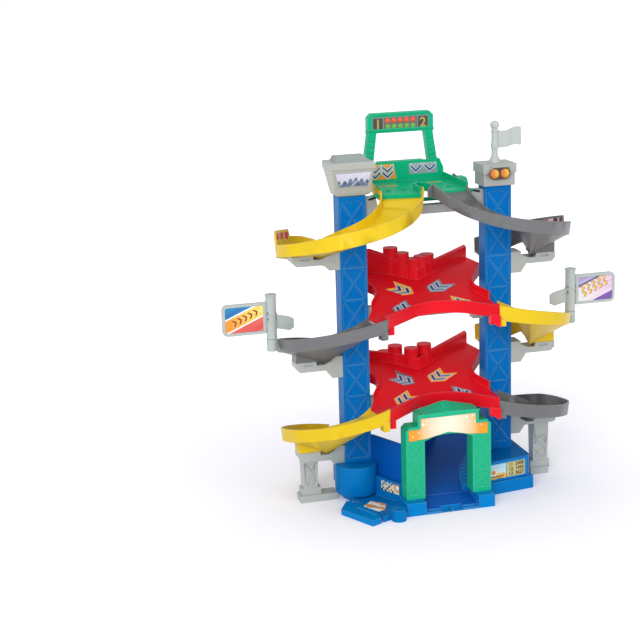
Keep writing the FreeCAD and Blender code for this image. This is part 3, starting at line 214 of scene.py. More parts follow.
def moulded(name, colour, shine=0.4, rim=None, reach=0.0011):
    """Injection-moulded plastic: soft edges, a faint grain, flow marks, and paler edges that are partly
    wear and partly a painted highlight.
    """
    finish = Finish(name)
    flow = finish.noise(FLOW_WAVES, 3.0)
    skin = finish.noise(SKIN_WAVES, 2.0)
    smear = finish.noise(SMEAR_WAVES, 4.0)
    rounded = finish.add("ShaderNodeBevel", {"samples": 4}, {"Radius": reach})
    true = finish.add("ShaderNodeNewGeometry").out("Normal")
    facing = finish.add(
        "ShaderNodeVectorMath", {"operation": "DOT_PRODUCT"}, {0: rounded, 1: true}, "Value")
    # Edges found by the bevel normal are made paler: partly wear, partly a painted edge highlight.
    worn_and_lit_edges = ((1.0 - facing) * 5.0).clamped()
    strength = 0.35
    # An edge colour given as rim is a painted highlight, kept to front-facing edges and made stronger.
    if rim:
        worn_and_lit_edges = worn_and_lit_edges * (finish.axes(true)[1] < -0.5)
        strength = 0.75
    body = finish.mix(flow, shade(colour, 0.93), shade(colour, 1.06))
    # pale is the edge colour: worn plastic and a painted highlight.
    pale = rim or tuple(part + (1.0 - part) * 0.25 for part in colour[:3]) + (1.0,)
    return finish.done(
        Base_Color=finish.mix((worn_and_lit_edges * (strength + smear * 0.5)).clamped(), body, pale),
        Roughness=PLASTIC_ROUGHNESS - 0.07 + smear * 0.16 + worn_and_lit_edges * 0.08,
        Normal=finish.bump(skin, SKIN_DEPTH, Normal=rounded),
        Specular_IOR_Level=shine,
    )


# Each plastic's colour and shine
PLASTICS = {
    "base blue": ((0, 118, 190), 0.08),
    "ramp blue": ((6, 90, 182), 0.06),
    "sill blue": ((0, 130, 203), 0.08),
    "track yellow": ((230, 195, 26), 0.2),
    "track grey": ((108, 109, 110), 0.4),
    "crossing red": ((232, 22, 38), 0.1),
    "platform green": ((4, 180, 130), 0.12),
    "arch green": ((30, 186, 138), 0.12),
    "bracket grey": ((176, 182, 178), 0.4),
    "shell grey": ((174, 177, 171), 0.4),
    # The crossbar's grey is darker than the brackets' grey: painted shade.
    "crossbar grey": ((168, 170, 168), 0.4),
    # The cab roof's grey is darker than the shell's grey: painted shade on its top faces.
    "roof grey": ((150, 160, 157), 0.2),
    "bezel brown": ((70, 58, 50), 0.4),
    "lens amber": ((232, 150, 36), 0.4),
    "flag grey": ((188, 193, 191), 0.4),
    "sign grey": ((180, 188, 185), 0.4),
}
FINISHES = {
    look: moulded(f"{look} plastic", tint(*colour), shine)
    for look, (colour, shine) in PLASTICS.items()
}
# The tower's light blue edge colour is a painted highlight on its front-facing ridges.
FINISHES["tower blue"] = moulded(
    "tower blue plastic", tint(0, 115, 197), 0.06, tint(96, 172, 232), 0.0019)

# The first of these that a part's name starts with gives its finish
NODE_FINISHES = {
    "tower_": "tower blue", "base_": "base blue", "entry_plate": "sill blue",
    "exit_ramp": "ramp blue", "front_sill": "sill blue", "turn_left_1": "track yellow",
    "turn_right_2": "track yellow", "turn_left_3": "track yellow", "turn_": "track grey",
    "bracket_": "bracket grey", "leg_": "bracket grey", "crossbar_": "crossbar grey",
    "crossing_": "crossing red", "control_cab_window": "window", "control_cab_roof": "roof grey",
    "control_cab": "shell grey", "lamp_housing": "shell grey", "lamp_bezel": "bezel brown",
    "lamp_lens_": "lens amber", "start_": "platform green", "finish_arch": "arch green",
    "flag": "flag grey", "left_sign": "sign grey", "right_sign": "sign grey",
}


# Modelling: outlines are drawn corner by corner, then thickened and softened

SAME_POINT = 0.01
RIM_SOFTNESS = 0.25


def start_clean():
    """Leaves edit mode with nothing selected."""
    if bpy.context.object is not None and bpy.context.object.mode != "OBJECT":
        bpy.ops.object.mode_set(mode="OBJECT")
    bpy.ops.object.select_all(action="DESELECT")


def take(piece):
    """Makes a piece the only selected one."""
    start_clean()
    piece.select_set(True)
    bpy.context.view_layer.objects.active = piece


def open_mesh(kind="VERT"):
    """Edit mode, with all corners, edges or faces selected."""
    bpy.ops.object.mode_set(mode="EDIT")
    bpy.ops.mesh.select_mode(type=kind)
    bpy.ops.mesh.select_all(action="SELECT")


def close_mesh():
    """Turns all faces outwards and leaves edit mode."""
    bpy.ops.mesh.select_all(action="SELECT")
    bpy.ops.mesh.normals_make_consistent(inside=False)
    bpy.ops.object.mode_set(mode="OBJECT")


def pick(piece, kind, test):
    """Opens edit mode with only those corners or faces selected that pass the test."""
    take(piece)
    open_mesh(kind)
    bpy.ops.mesh.select_all(action="DESELECT")
    bpy.ops.object.mode_set(mode="OBJECT")
    for item in piece.data.polygons if kind == "FACE" else piece.data.vertices:
        item.select = test(item)
    bpy.ops.object.mode_set(mode="EDIT")


def modify(piece, kind, **settings):
    """Puts a modifier's result into a piece's mesh."""
    change = piece.modifiers.new("change", kind)
    for setting, value in settings.items():
        setattr(change, setting, value)
    take(piece)
    bpy.ops.object.modifier_apply(modifier=change.name)


def smooth(piece, degrees):
    """Shades a piece as rounded, but not over edges sharper than so many degrees."""
    take(piece)
    bpy.ops.object.shade_smooth_by_angle(angle=math.radians(degrees))
    return piece


def dress(piece, finish, body="frame"):
    """Settles a finished piece and gives it its material and the body that it rides on."""
    take(piece)
    bpy.ops.object.transform_apply(location=True, rotation=True, scale=True)
    piece.data.materials.clear()
    piece.data.materials.append(finish)
    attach(piece, body)
    return piece


def pull_out(steps):
    """Merges the selected corners into one and pulls a chain of corners out of it, step by step."""
    bpy.ops.mesh.merge(type="CENTER")
    for step in steps:
        bpy.ops.mesh.extrude_vertices_move(TRANSFORM_OT_translate={"value": step})


def draw_line(name, points):
    """A new piece: a chain of edges through points in millimetres. Its mesh stays open."""
    places = [Vector(point) * MM for point in points]
    start_clean()
    bpy.ops.mesh.primitive_plane_add(size=MM, location=places[0])
    piece = bpy.context.object
    piece.name = name
    open_mesh()
    pull_out(there - here for here, there in zip(places, places[1:]))
    return piece


def add_line(points):
    """Another chain of edges in the open mesh."""
    places = [Vector(point) for point in points]
    bpy.ops.mesh.select_all(action="DESELECT")
    bpy.ops.mesh.primitive_plane_add(size=MM, location=places[0] * MM)
    pull_out((there - here) * MM for here, there in zip(places, places[1:]))


def fill_outline():
    """One face over everything that is drawn in the open mesh."""
    open_mesh()
    bpy.ops.mesh.edge_face_add()


def draw_slab(name, corners, rise, soft=0.0, segments=2):
    """A flat plate: its outline, its thickness as a move and the softness of its outer rim."""
    piece = draw_line(name, corners)
    fill_outline()
    move = Vector(rise) * MM
    bpy.ops.mesh.extrude_region_move(TRANSFORM_OT_translate={"value": move})
    close_mesh()
    if soft:
        away = move.normalized()
        pick(piece, "FACE", lambda face: face.normal.dot(away) > 0.99)
        bpy.ops.mesh.bevel(offset=soft * MM, segments=segments, affect="EDGES")
    return piece


def lay(name, corners, rise, finish, soft=0.0, segments=2, body="frame"):
    """A flat plate with its finish."""
    return dress(draw_slab(name, corners, rise, soft, segments), finish, body)


def upright(start, run, reaches, levels):
    """The corners of an upright rectangle, by its reaches along run and its levels."""
    near, far = (start + run * reach for reach in reaches)
    foot, top = (Vector((0, 0, level)) for level in levels)
    return [near + foot, far + foot, far + top, near + top]


def panel(y, *sides):
    """An upright rectangle at depth y, by its left and right sides, its foot and its top."""
    return upright(Vector((0, y, 0)), Vector((1, 0, 0)), sides[:2], sides[2:])


def draw_rim(name, corners, rise, width):
    """A raised rim: its outline's middle is inset and taken out, and what stays is thickened."""
    piece = draw_line(name, corners)
    fill_outline()
    open_mesh("FACE")
    bpy.ops.mesh.inset(thickness=width * MM)
    bpy.ops.mesh.delete(type="FACE")
    open_mesh("FACE")
    bpy.ops.mesh.extrude_region_move(TRANSFORM_OT_translate={"value": Vector(rise) * MM})
    close_mesh()
    modify(piece, "BEVEL", width=RIM_SOFTNESS * MM, segments=2, limit_method="ANGLE")
    return piece


def draw_band(name, low, high, thickness):
    """A curved wall or floor between two rails, which are drawn and then bridged."""
    piece = draw_line(name, low)
    add_line(high)
    open_mesh("EDGE")
    bpy.ops.mesh.bridge_edge_loops()
    modify(piece, "SOLIDIFY", thickness=thickness * MM, offset=0.0)
    return piece


def finish_shell(name, parts, width=0.7):
    """Joins the bands of one moulding, rounds their rims and smooths their curves."""
    start_clean()
    for part in parts:
        part.select_set(True)
    piece = parts[0]
    bpy.context.view_layer.objects.active = piece
    bpy.ops.object.join()
    piece.name = name
    open_mesh()
    close_mesh()
    modify(
        piece, "BEVEL", width=width * MM, segments=2, limit_method="ANGLE",
        angle_limit=math.radians(50))
    smooth(piece, 40)
    modify(piece, "WEIGHTED_NORMAL", keep_sharp=True)
    return piece


def draw_ring(name, centre, radius, height, thickness):
    """A band round an upright post."""
    start_clean()
    bpy.ops.mesh.primitive_circle_add(
        vertices=40, radius=(radius - 0.1) * MM, location=Vector(centre) * MM)
    piece = bpy.context.object
    piece.name = name
    open_mesh()
    bpy.ops.mesh.extrude_edges_move(TRANSFORM_OT_translate={"value": (0, 0, height * MM)})
    close_mesh()
    modify(piece, "SOLIDIFY", thickness=thickness * MM, offset=1.0)
    modify(piece, "BEVEL", width=0.35 * MM, segments=2)
    return smooth(piece, 40)


def turn_profile(name, centre, profile, steps=36):
    """A round piece: half its outline, spun about an upright axis."""
    x, y = centre
    piece = draw_line(name, [(x + radius, y, z) for radius, z in profile])
    open_mesh()
    bpy.ops.mesh.spin(
        steps=steps, angle=2 * math.pi, center=Vector((x, y, 0)) * MM, axis=(0, 0, 1))
    open_mesh()
    bpy.ops.mesh.remove_doubles(threshold=SAME_POINT / 2 * MM)
    close_mesh()
    return smooth(piece, 35)


def make_dome(name, place, radius, depth):
    """A shallow round cap that faces the front, cut from a squeezed ball."""
    start_clean()
    centre = Vector(place) * MM
    bpy.ops.mesh.primitive_uv_sphere_add(
        segments=24, ring_count=16, radius=radius * MM, location=centre)
    piece = bpy.context.object
    piece.name = name
    open_mesh("FACE")
    bpy.ops.transform.resize(value=(1, depth, 1))
    back = centre + Vector((0, 0.1 * MM, 0))
    bpy.ops.mesh.bisect(plane_co=back, plane_no=(0, 1, 0), use_fill=True, clear_outer=True)
    return smooth(piece, 50)


def write(name, words, height, place, depth, bold, turn=0.0):
    """Upright figures that face the front, or are turned from it."""
    start_clean()
    bpy.ops.object.text_add(location=(0, 0, 0))
    piece = bpy.context.object
    piece.name = name
    piece.data.body = words
    piece.data.size = height * MM
    piece.data.extrude = depth / 2 * MM
    piece.data.offset = bold * MM
    piece.data.align_x = "CENTER"
    piece.data.resolution_u = 3
    bpy.ops.object.convert(target="MESH")
    piece = bpy.context.object
    piece.rotation_euler = (math.pi / 2, 0, turn)
    piece.location = Vector(place) * MM
    return piece


def copy_piece(piece, name, move=(0, 0, 0)):
    """A copy with its own mesh, moved by so many millimetres."""
    take(piece)
    bpy.ops.object.duplicate(linked=False)
    copy = bpy.context.object
    copy.name = name
    bpy.ops.transform.translate(value=Vector(move) * MM)
    return copy


def reshape_node(node_name, finish, moves, body="frame"):
    """A merged copy of a part takes its place after groups of its corners are moved or scaled."""
    piece = copy_piece(nodes[node_name], f"{node_name}_formed")
    del piece["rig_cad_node"]
    open_mesh()
    bpy.ops.mesh.remove_doubles(threshold=SAME_POINT * MM)
    for test, move, *centre in moves:
        pick(piece, "VERT", lambda corner: test(corner.co / MM))
        if centre:
            bpy.ops.transform.resize(value=move, center_override=Vector(centre[0]) * MM)
        else:
            bpy.ops.transform.translate(value=Vector(move) * MM)
    take(piece)
    bpy.ops.mesh.customdata_custom_splitnormals_clear()
    smooth(piece, 30)
    dress(piece, finish, body)
    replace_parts(piece, node_name)
    return piece


# Prints

NAVY = tint(28, 52, 122)
TEAL = tint(40, 110, 165)
ICE = tint(208, 222, 232)
INK = tint(26, 34, 58)
AMBER = tint(240, 166, 60)
GOLD = tint(243, 200, 92)
SILVER = tint(146, 152, 164)
SLATE = tint(104, 116, 132)

SIGN_X = 240.5
BAND_LEAN = 0.42


def film(finish, colour, gloss=0.3):
    """Printed film: a colour under a smooth clear face, with a faint ripple of the glue."""
    ripple = finish.noise(160.0)
    return finish.done(
        Base_Color=colour, Roughness=gloss - 0.04 + ripple * 0.1, Normal=finish.bump(ripple, 0.00005))


def paint(name, colour, roughness=0.42):
    """Pad-printed or painted plastic: a slightly uneven coat."""
    finish = Finish(name)
    coat = finish.noise(260.0, 3.0)
    return finish.done(
        Base_Color=finish.mix(coat, shade(colour, 0.9), shade(colour, 1.08)),
        Roughness=roughness - 0.05 + coat * 0.12,
        Normal=finish.bump(coat, 0.00004),
    )


def glowing(name, low, high, x):
    """A coloured lamp cap whose tone turns from its left to its right, about x."""
    finish = Finish(name)
    across = finish.millimetres((x, 0, 0))[0]
    share = (across * 0.09 + 0.5 + (finish.noise(140.0) - 0.5) * 0.3).clamped()
    return finish.done(
        Base_Color=finish.mix(share, low, high),
        Roughness=0.2 + finish.noise(400.0) * 0.05,
        Coat_Weight=0.2,
    )


def lane_arrow_print(name, ground, rim, apex, side):
    """Two navy arrows with pale rims on a coloured ground, pointing down the ramp."""
    finish = Finish(name)
    x, y, _ = finish.millimetres((*apex, 0))
    x = x * side
    along = x * 0.846 + y * 0.533
    across = y * 0.846 - x * 0.533
    depth = along - (across * 0.54 | across * -1.37)
    inner = depth.between(1.4, 30.4) & across.between(-11.8, 12.0)
    halo = (depth.between(4.2, 12.8) | depth.between(17.2, 25.8)) & across.between(-11.4, 11.8)
    stroke = (depth.between(6.0, 11.0) | depth.between(19.0, 24.0)) & across.between(-10.0, 10.4)
    tone = finish.mix(finish.noise(300.0) * 0.5 + 0.25, ground, shade(ground, 1.25))
    ink = finish.mix(across > 0.0, TEAL, NAVY)
    return film(finish, finish.over(rim, (inner, tone), (halo, ICE), (stroke, ink)))


def wall_arrow_print(name, ground, streak, centres, rows, reach):
    """Rows of downward arrows beside each other on a streaked ground."""
    finish = Finish(name)
    x, _, z = finish.millimetres()
    offset = abs(x - centres[0]) & abs(x - centres[1])
    lift = z - offset * 0.92
    grain = finish.noise(90.0, 3.0)
    bars = ((x * 1.4 + grain * 6.0).sine() * 0.5 + 0.5) * (z - rows[0]) * 0.04
    colour = finish.mix(bars.clamped(), ground, streak)
    for index, row in enumerate(rows):
        halo = lift.between(row - 1.6, row + 5.0) & (offset < reach + 1.2)
        stroke = lift.between(row, row + 3.4) & (offset < reach)
        ink = finish.mix(((z - row) * 0.09).clamped(), NAVY, TEAL) if index else NAVY
        colour = finish.over(colour, (halo, ICE), (stroke, ink))
    return film(finish, colour)


# Each star's place and size
HEADER_STARS = (
    (-40, 136, 7), (-47, 124, 3.4), (-27, 128, 3.6), (-33, 141, 3), (29, 141, 5), (38, 142, 4),
    (43, 131, 4), (33, 134, 3.4), (52, 126, 3), (-12, 139, 3), (13, 130, 3.4), (-56, 118, 3))


def header_print():
    """Cream glow that turns orange towards the ends, with slanting rays and white sparkles."""
    finish = Finish("header print")
    x, _, z = finish.millimetres()
    spread = abs(x) / 62.0
    glow = (spread * spread * 1.5 + finish.noise(22.0) * 0.16 - 0.06).clamped()
    ray = ((x + z * 0.9) * 1.55).sine() > 0.35
    cream = finish.mix(((128.0 - z) * 0.012).clamped(), tint(252, 240, 216), tint(250, 222, 160))
    shine = 0.0
    for star_x, star_z, size in HEADER_STARS:
        away = abs(x - star_x) ** 0.5 + abs(z - star_z) ** 0.5
        shine = (1.0 - away / size ** 0.5).clamped() | shine
    return film(finish, finish.over(
        cream, (glow, tint(250, 163, 30)), ((ray & (spread > 0.72)) * 0.5, tint(236, 128, 18)),
        ((shine * 2.2).clamped(), tint(255, 253, 246))))


def sign_axes(name, x, z, squeeze):
    """A sign print's finish, its place across and along the slanting bands, and its streaks."""
    finish = Finish(name)
    x, _, z = finish.millimetres((x, 0, z))
    streak = finish.turned((0, 0, 0), (0, -0.4, 0), (3.0, 1.0, squeeze))
    return finish, z - x * BAND_LEAN, x + z * BAND_LEAN, streak


def rally_sign_print():
    """Blue, amber and red diagonal bands with white edges and a row of small arrows."""
    finish, band, along, streak = sign_axes("left sign print", -SIGN_X - 39.5, 298.4, 0.35)
    streak = finish.noise(60.0, 3.0, streak)
    blue = finish.mix(streak, tint(8, 62, 140), tint(24, 158, 214))
    red = finish.mix((streak * 1.6 - 0.45).clamped(), tint(214, 38, 40), tint(244, 150, 132))
    warm = finish.mix((along * 0.018 + 0.5).clamped(), tint(244, 150, 40), tint(250, 226, 110))
    arrow = (along + abs(band) * 0.8) % 9.5
    arrows = arrow.between(0.0, 3.4) & (abs(band) < 5.6) & (abs(along) < 26.0)
    return film(finish, finish.over(
        red, (band > 0.0, blue), (abs(band) < 11.6, tint(250, 250, 248)), (abs(band) < 9.4, warm),
        (arrows, tint(146, 42, 24))))


def boost_sign_print():
    """Lilac and pink streaks with violet corners and a double row of golden arrows."""
    finish, band, along, streak = sign_axes("right sign print", SIGN_X + 39.5, 296.4, 0.3)
    streak = finish.noise(70.0, 3.0, streak)
    pink = finish.mix((along * 0.02 + 0.4).clamped(), tint(226, 226, 222), tint(218, 164, 206))
    lilac = finish.mix(streak, tint(122, 96, 168), tint(214, 204, 228))
    lane = abs(abs(band - 1.0) - 5.2)
    arrow = (along + lane * 0.8) % 10.5
    inside = abs(along) < 25.0
    return film(finish, finish.over(
        pink, ((streak * 1.8 - 0.5).clamped(), tint(236, 224, 232)), (band > 13.0, lilac),
        (band.between(11.4, 14.0), tint(76, 58, 104)), (band < -19.5, tint(118, 78, 164)),
        (band.between(-21.0, -19.5), tint(236, 220, 240)),
        (arrow.between(-0.8, 5.6) & (lane < 4.5) & inside, tint(120, 74, 40)),
        (arrow.between(0.4, 4.4) & (lane < 3.6) & inside, tint(246, 190, 70))))


def window_print():
    """Lavender sky over a row of dark rounded shapes seen through the cab's glass."""
    finish = Finish("cab window print")
    x, _, z = finish.millimetres((-115, 0, 484))
    sky = finish.mix((z / 24.0).clamped(), tint(186, 198, 226), tint(216, 212, 236))
    ridge = 6.6 + abs((x * 0.36).sine()) * 6.4 + (x * 0.15 + 1.0).sine() * 2.0
    shine = finish.noise(240.0, 3.0)
    crowd = finish.mix((shine * 1.6 - 0.3).clamped(), tint(48, 62, 92), tint(132, 156, 190))
    slant = x * 0.8 - z * 0.9
    beam = slant.between(-6.0, -2.0) | slant.between(-22.0, -20.0)
    return film(finish, finish.over(sky, (z < ridge, crowd), (beam * 0.28, tint(240, 246, 252))), 0.16)


def score_picture_print():
    """A low sun over golden hills beside a road."""
    finish = Finish("score picture print")
    x, _, z = finish.millimetres((90, 0, 30))
    sky = finish.mix((z * 0.05 + 0.4).clamped(), tint(236, 240, 224), tint(176, 216, 232))
    hill = (x * 0.22).sine() * 3.0 + (x * 0.5 + 1.0).sine() * 1.4
    sun = (x + 6.0) * (x + 6.0) + (z - 4.0) * (z - 4.0) < 13.0
    ground = finish.mix(finish.noise(200.0), tint(232, 160, 44), tint(250, 208, 90))
    dark = finish.mix(finish.noise(260.0), tint(92, 72, 36), tint(186, 136, 50))
    return film(finish, finish.over(
        sky, (sun, tint(236, 130, 60)), (z < hill, ground),
        (z.between(-4.6, -1.6) & (abs(x - 1.0) < 11.0), dark),
        (z < (x * 0.3).sine() * 0.8 - 6.5, tint(64, 74, 128))))


def checker_wall_print():
    """Pale blue ground with small dark checks that thin out towards an orange ring."""
    finish = Finish("wall check print")
    _, y, z = finish.millimetres((0, -62, 30))
    cell = ((y / 3.4).floor() + (z / 3.4).floor()) % 2.0
    checks = cell & (finish.noise(170.0) > 0.47) & (y > -8.0)
    ground = finish.mix((z * 0.06 + 0.5).clamped(), tint(240, 230, 190), tint(190, 218, 234))
    ring = (y + 14.0) * (y + 14.0) + z * z
    return film(finish, finish.over(
        ground, (checks, INK), (ring < 44.0, tint(232, 150, 84)), (ring < 12.0, tint(250, 240, 226))))


def swirl_print():
    """Orange and cream swirls with a dark edge."""
    finish = Finish("plate swirl print")
    x, y, _ = finish.millimetres((-108, -82, 0))
    flow = finish.noise(70.0)
    swirl = ((x * 0.34 + y * 0.22 + flow * 7.0).sine() * 0.5 + 0.5).clamped()
    warm = finish.mix(finish.noise(120.0), tint(226, 116, 40), tint(244, 170, 70))
    return film(finish, finish.over(
        tint(252, 242, 226), (swirl > 0.55, warm), (abs(swirl - 0.55) < 0.07, tint(120, 52, 34))))


def dash_print():
    """Amber and brown dashes across a lane."""
    finish = Finish("start line print")
    x, y, _ = finish.millimetres()
    dash = (x + y * 0.6) % 5.2 < 2.7
    return film(finish, finish.mix(dash, tint(238, 190, 70), tint(214, 108, 52)))


# Crossing plates: four arrow films on each ramp

LEVEL_PITCH = 142.5
PLATE_LEVELS = (("upper", LEVEL_PITCH), ("lower", 0.0))
PLATE_FOOT = 151.0
PLATE_APEX = 53.0
PLATE_SLOPE = 38.5 / 107.0
ARROW_APEX = (8.0, -3.0)
ARROW_BACK = (-69.4, -46.0)
ARROW_SHAPE = ((0, 0), (-1, 15), (26, 32), (27, 17), (49, 15.5), (22, -1.5))
ARROW_TIP = 49


def lay_plate_arrows():
    """Films on both crossing plates, amber and silver in turn."""
    out = Vector((0, -PLATE_SLOPE, 1)).normalized()
    for level, lift in PLATE_LEVELS:
        for row, shift in (("back", (0, 0)), ("front", ARROW_BACK)):
            for word, side in SIDES:
                amber = (level == "upper") == (side < 0)
                squeeze, stretch = (0.8, 1.15) if (row, side) == ("back", -1) else (1.0, 1.0)
                apex_x = side * (ARROW_APEX[0] + shift[0] + ARROW_TIP * (1 - squeeze))
                apex_y = ARROW_APEX[1] + shift[1]
                corners = []
                for x, y in ARROW_SHAPE:
                    x = apex_x + side * x * squeeze
                    y = apex_y + y * stretch
                    z = PLATE_FOOT + (y + PLATE_APEX) * PLATE_SLOPE + lift
                    corners.append(Vector((x, y, z)) - out * 0.1)
                name = f"{level}_plate_arrow_{row}_{word}"
                ground, rim = (AMBER, GOLD) if amber else (SILVER, SLATE)
                look = lane_arrow_print(name.replace("_", " "), ground, rim, (apex_x, apex_y), side)
                lay(name, corners, out * 0.42, look)


# Start platform: wall films, start lines, display, apron

WALL_FACE = 102.1
FILM_RISE = (0, -0.4, 0)
LANE_FLOOR = 467.9
DISPLAY_FACE = 104.0
LAMP_PITCH = 10.3
APRON = ((69, -9.2, 461.5), (10.3, -21.5, 461.5), (10.3, -21.5, 468.3), (69, -9.2, 468.3))


def facing_front(y, outline):
    """An outline of x and z, set up at depth y."""
    return [(x, y, z) for x, z in outline]


def lay_wall_films():
    """The two arrow films on the platform's back wall and the two start lines."""
    left = [(-55, 472), (-8.6, 472), (-13, 495.5), (-50, 495.5)]
    lay("left_wall_film", facing_front(WALL_FACE, left), FILM_RISE, wall_arrow_print(
        "left wall arrows", tint(232, 150, 52), tint(246, 190, 92), (-43, -23), (473.5, 482.0), 8.6))
    right = [(12.5, 477.5), (59, 477.5), (57, 494.5), (12.5, 494.5)]
    lay("right_wall_film", facing_front(WALL_FACE, right), FILM_RISE, wall_arrow_print(
        "right wall arrows", tint(150, 158, 170), tint(222, 226, 228), (23.4, 46.4), (480.6,), 8.8))
    lines = dash_print()
    for word, near, far, y in (("left", -52, -20, 60), ("right", 22, 54, 66)):
        outline = ((near, y), (far, y), (far, y + 5), (near, y + 5))
        corners = [(*corner, LANE_FLOOR) for corner in outline]
        lay(f"{word}_start_line", corners, (0, 0, 0.45), lines)


def make_display():
    """Panels, numbers and ten start lamps in the gantry's window, and the lip under its beam."""
    grey = paint("display grey", tint(112, 128, 132))
    dark = paint("display dark", tint(66, 58, 54))
    field = paint("lamp field", tint(98, 104, 98))
    bead = paint("display bead", tint(136, 146, 146))
    front = DISPLAY_FACE - 0.4
    for word, corners, rise, soft, look in (
            ("board", panel(DISPLAY_FACE + 0.2, -45.7, 45.7, 547.8, 568.2), 0.7, 0.2, grey),
            ("left", panel(front, -44, -29, 549.6, 566.6), 0.35, 0.1, dark),
            ("right", panel(front, 29, 44, 549.6, 566.6), 0.35, 0.1, dark),
            ("middle", panel(front, -26.6, 26.6, 548.6, 567.6), 0.35, 0.1, field),
            ("bar_left", panel(front, -28.6, -27.0, 548.4, 567.8), 0.8, 0.3, bead),
            ("bar_right", panel(front, 27.0, 28.6, 548.4, 567.8), 0.8, 0.3, bead)):
        lay(f"display_{word}", corners, (0, -rise, 0), look, soft)
    corners = panel(DISPLAY_FACE + 0.1, -46, 46, 547.5, 568.5)
    dress(draw_rim("display_rim", corners, (0, -1.5, 0), 1.2), bead)
    figures = paint("display numbers", tint(176, 160, 70))
    for word, sign, x in (("one", "1", -36.5), ("two", "2", 36.5)):
        dress(write(f"display_{word}", sign, 21.0, (x, DISPLAY_FACE - 0.7, 550.6), 0.5, 0.55), figures)
    for colour, level, look in (
            ("red", 562.8, paint("start lamp red", tint(232, 88, 50), 0.2)),
            ("green", 553.4, paint("start lamp green", tint(104, 176, 72), 0.3))):
        place = (-2 * LAMP_PITCH, DISPLAY_FACE - 0.6, level)
        first = dress(make_dome(f"start_lamp_{colour}_1", place, 4.3, 0.42), look)
        for index in range(1, 5):
            copy = copy_piece(first, f"start_lamp_{colour}_{index + 1}", (index * LAMP_PITCH, 0, 0))
            dress(copy, look)
    lip = panel(DISPLAY_FACE + 0.2, -54.4, 54.4, 543.9, 549)
    lay("gantry_lip", lip, (0, 9.6, 0), FINISHES["platform green"], 0.8)


def form_platform():
    """The low gate pins, the wings and the apron over the lanes' upper ends."""
    green = FINISHES["platform green"]
    reshape_node("start_gate", green, [(lambda p: p.z > 470, (0, 0, -5.5))], "starter")
    reshape_node("start_platform", green, [(lambda p: abs(p.x) > 80 and p.y < 20, (0, 0, -5))])
    for word, side in SIDES:
        corners = [(side * x, y, z) for x, y, z in APRON]
        lay(f"platform_apron_{word}", corners, (-side * 0.26, -1.2, 0), green, 0.5)


# Arch: header film and roof ribs

ROOF_HALF = 48.0
ROOF_FOOT = 150.5
RIB_PITCH = 4.7


def dress_arch():
    """The print over the opening, nine ribs on each half of the roof, and the eave."""
    half = [(0, 120.6), (34, 113.6), (62.4, 111.4), (62.4, 129), (43.4, 129), (43.4, 145)]
    outline = half + [(-x, z) for x, z in reversed(half[1:])]
    lay("header_film", facing_front(-103.4, outline), (0, -0.5, 0), header_print())
    green = FINISHES["arch green"]
    for word, side in SIDES:
        for index in range(9):
            near = 5.6 + RIB_PITCH * index
            share = 1 - near / ROOF_HALF
            low = ROOF_FOOT + share
            high = ROOF_FOOT + 0.5 + share * 11.0
            x = side * near - 1.1
            corners = [
                (x, -104.4, low - 0.4), (x, -80, high - 0.4), (x, -80, high + 1.0),
                (x, -103.6, low + 0.9)]
            lay(f"roof_rib_{word}_{index + 1}", corners, (2.2, 0, 0), green, 0.4)
    end = ROOF_HALF + 1.2
    eave = [(-end, 148.9), (-end, 151.2), (0, 152.6), (end, 151.2), (end, 148.9)]
    lay("roof_eave", facing_front(-105.2, eave), (0, 2.6, 0), green, 0.5)


# Signs: rims, films, rings, and dark plates in the posts' slots, which are painted shade

SIGN_DROP = 6.0
POST_RADIUS = 8.0


def dress_sign(word, side, foot, look):
    """One sign's board with a rim on both faces and a film, and its ringed post."""
    body = f"{word}_sign_body"
    grey = FINISHES["sign grey"]
    reshape_node(f"{word}_sign", grey, [
        (lambda p: abs(p.x) > 252 and p.z < foot + 30, (0, 0, -SIGN_DROP)),
        (lambda p: abs(p.x) < 230, (0, 0, -4.5))], body)
    low = foot + 15 - SIGN_DROP
    high = foot + 57
    inner = SIGN_X + 8.6
    outer = SIGN_X + 75

    def board(start, edge, cuts, way):
        """The board's outline, its free edges moved inwards by edge and its corners cut."""
        outline = [(start, low + edge)]
        outline += [(outer - edge - across, low + edge + up) for across, up in cuts]
        outline += [(x, low + high - z) for x, z in reversed(outline)]
        return facing_front(way * 1.9, [(side * x, z) for x, z in outline])

    for face, way in (("front", -1), ("back", 1)):
        corners = board(inner, 0.1, ((6.9, 0), (2.1, 2.1), (0, 6.9)), way)
        dress(draw_rim(f"{word}_sign_rim_{face}", corners, (0, way * 1.0, 0), 4.4), grey, body)
    lay(f"{word}_sign_film", board(inner + 2.2, 4.8, ((2, 0), (0, 2)), -1), FILM_RISE, look, body=body)
    for name, z, height in (("ring_1", 27.0, 1.6), ("ring_2", 36.0, 1.6), ("cap", 65.4, 2.5)):
        centre = (side * SIGN_X, 0, foot + z)
        dress(draw_ring(f"{word}_post_{name}", centre, POST_RADIUS, height, 0.9), grey, body)
    # Dark plates on the post stand in for its slots: painted shade in the openings.
    dark = paint(f"{word} post slots", tint(74, 80, 80))
    for row, z in enumerate((31.0, 40.0)):
        for column, degrees in enumerate((-50, 50)):
            angle = math.radians(degrees)
            out = Vector((math.sin(angle), -math.cos(angle), 0))
            turn = Vector((math.cos(angle), math.sin(angle), 0))
            middle = Vector((side * SIGN_X, 0, foot + z)) + out * (POST_RADIUS - 0.15)
            name = f"{word}_post_slot_{row * 2 + column + 1}"
            lay(name, upright(middle, turn, (-1, 1), (-1.7, 1.7)), out * 0.3, dark, body=body)


# Turns: each lane is drawn as bands between two rails, an outer wall, a floor and an inner wall

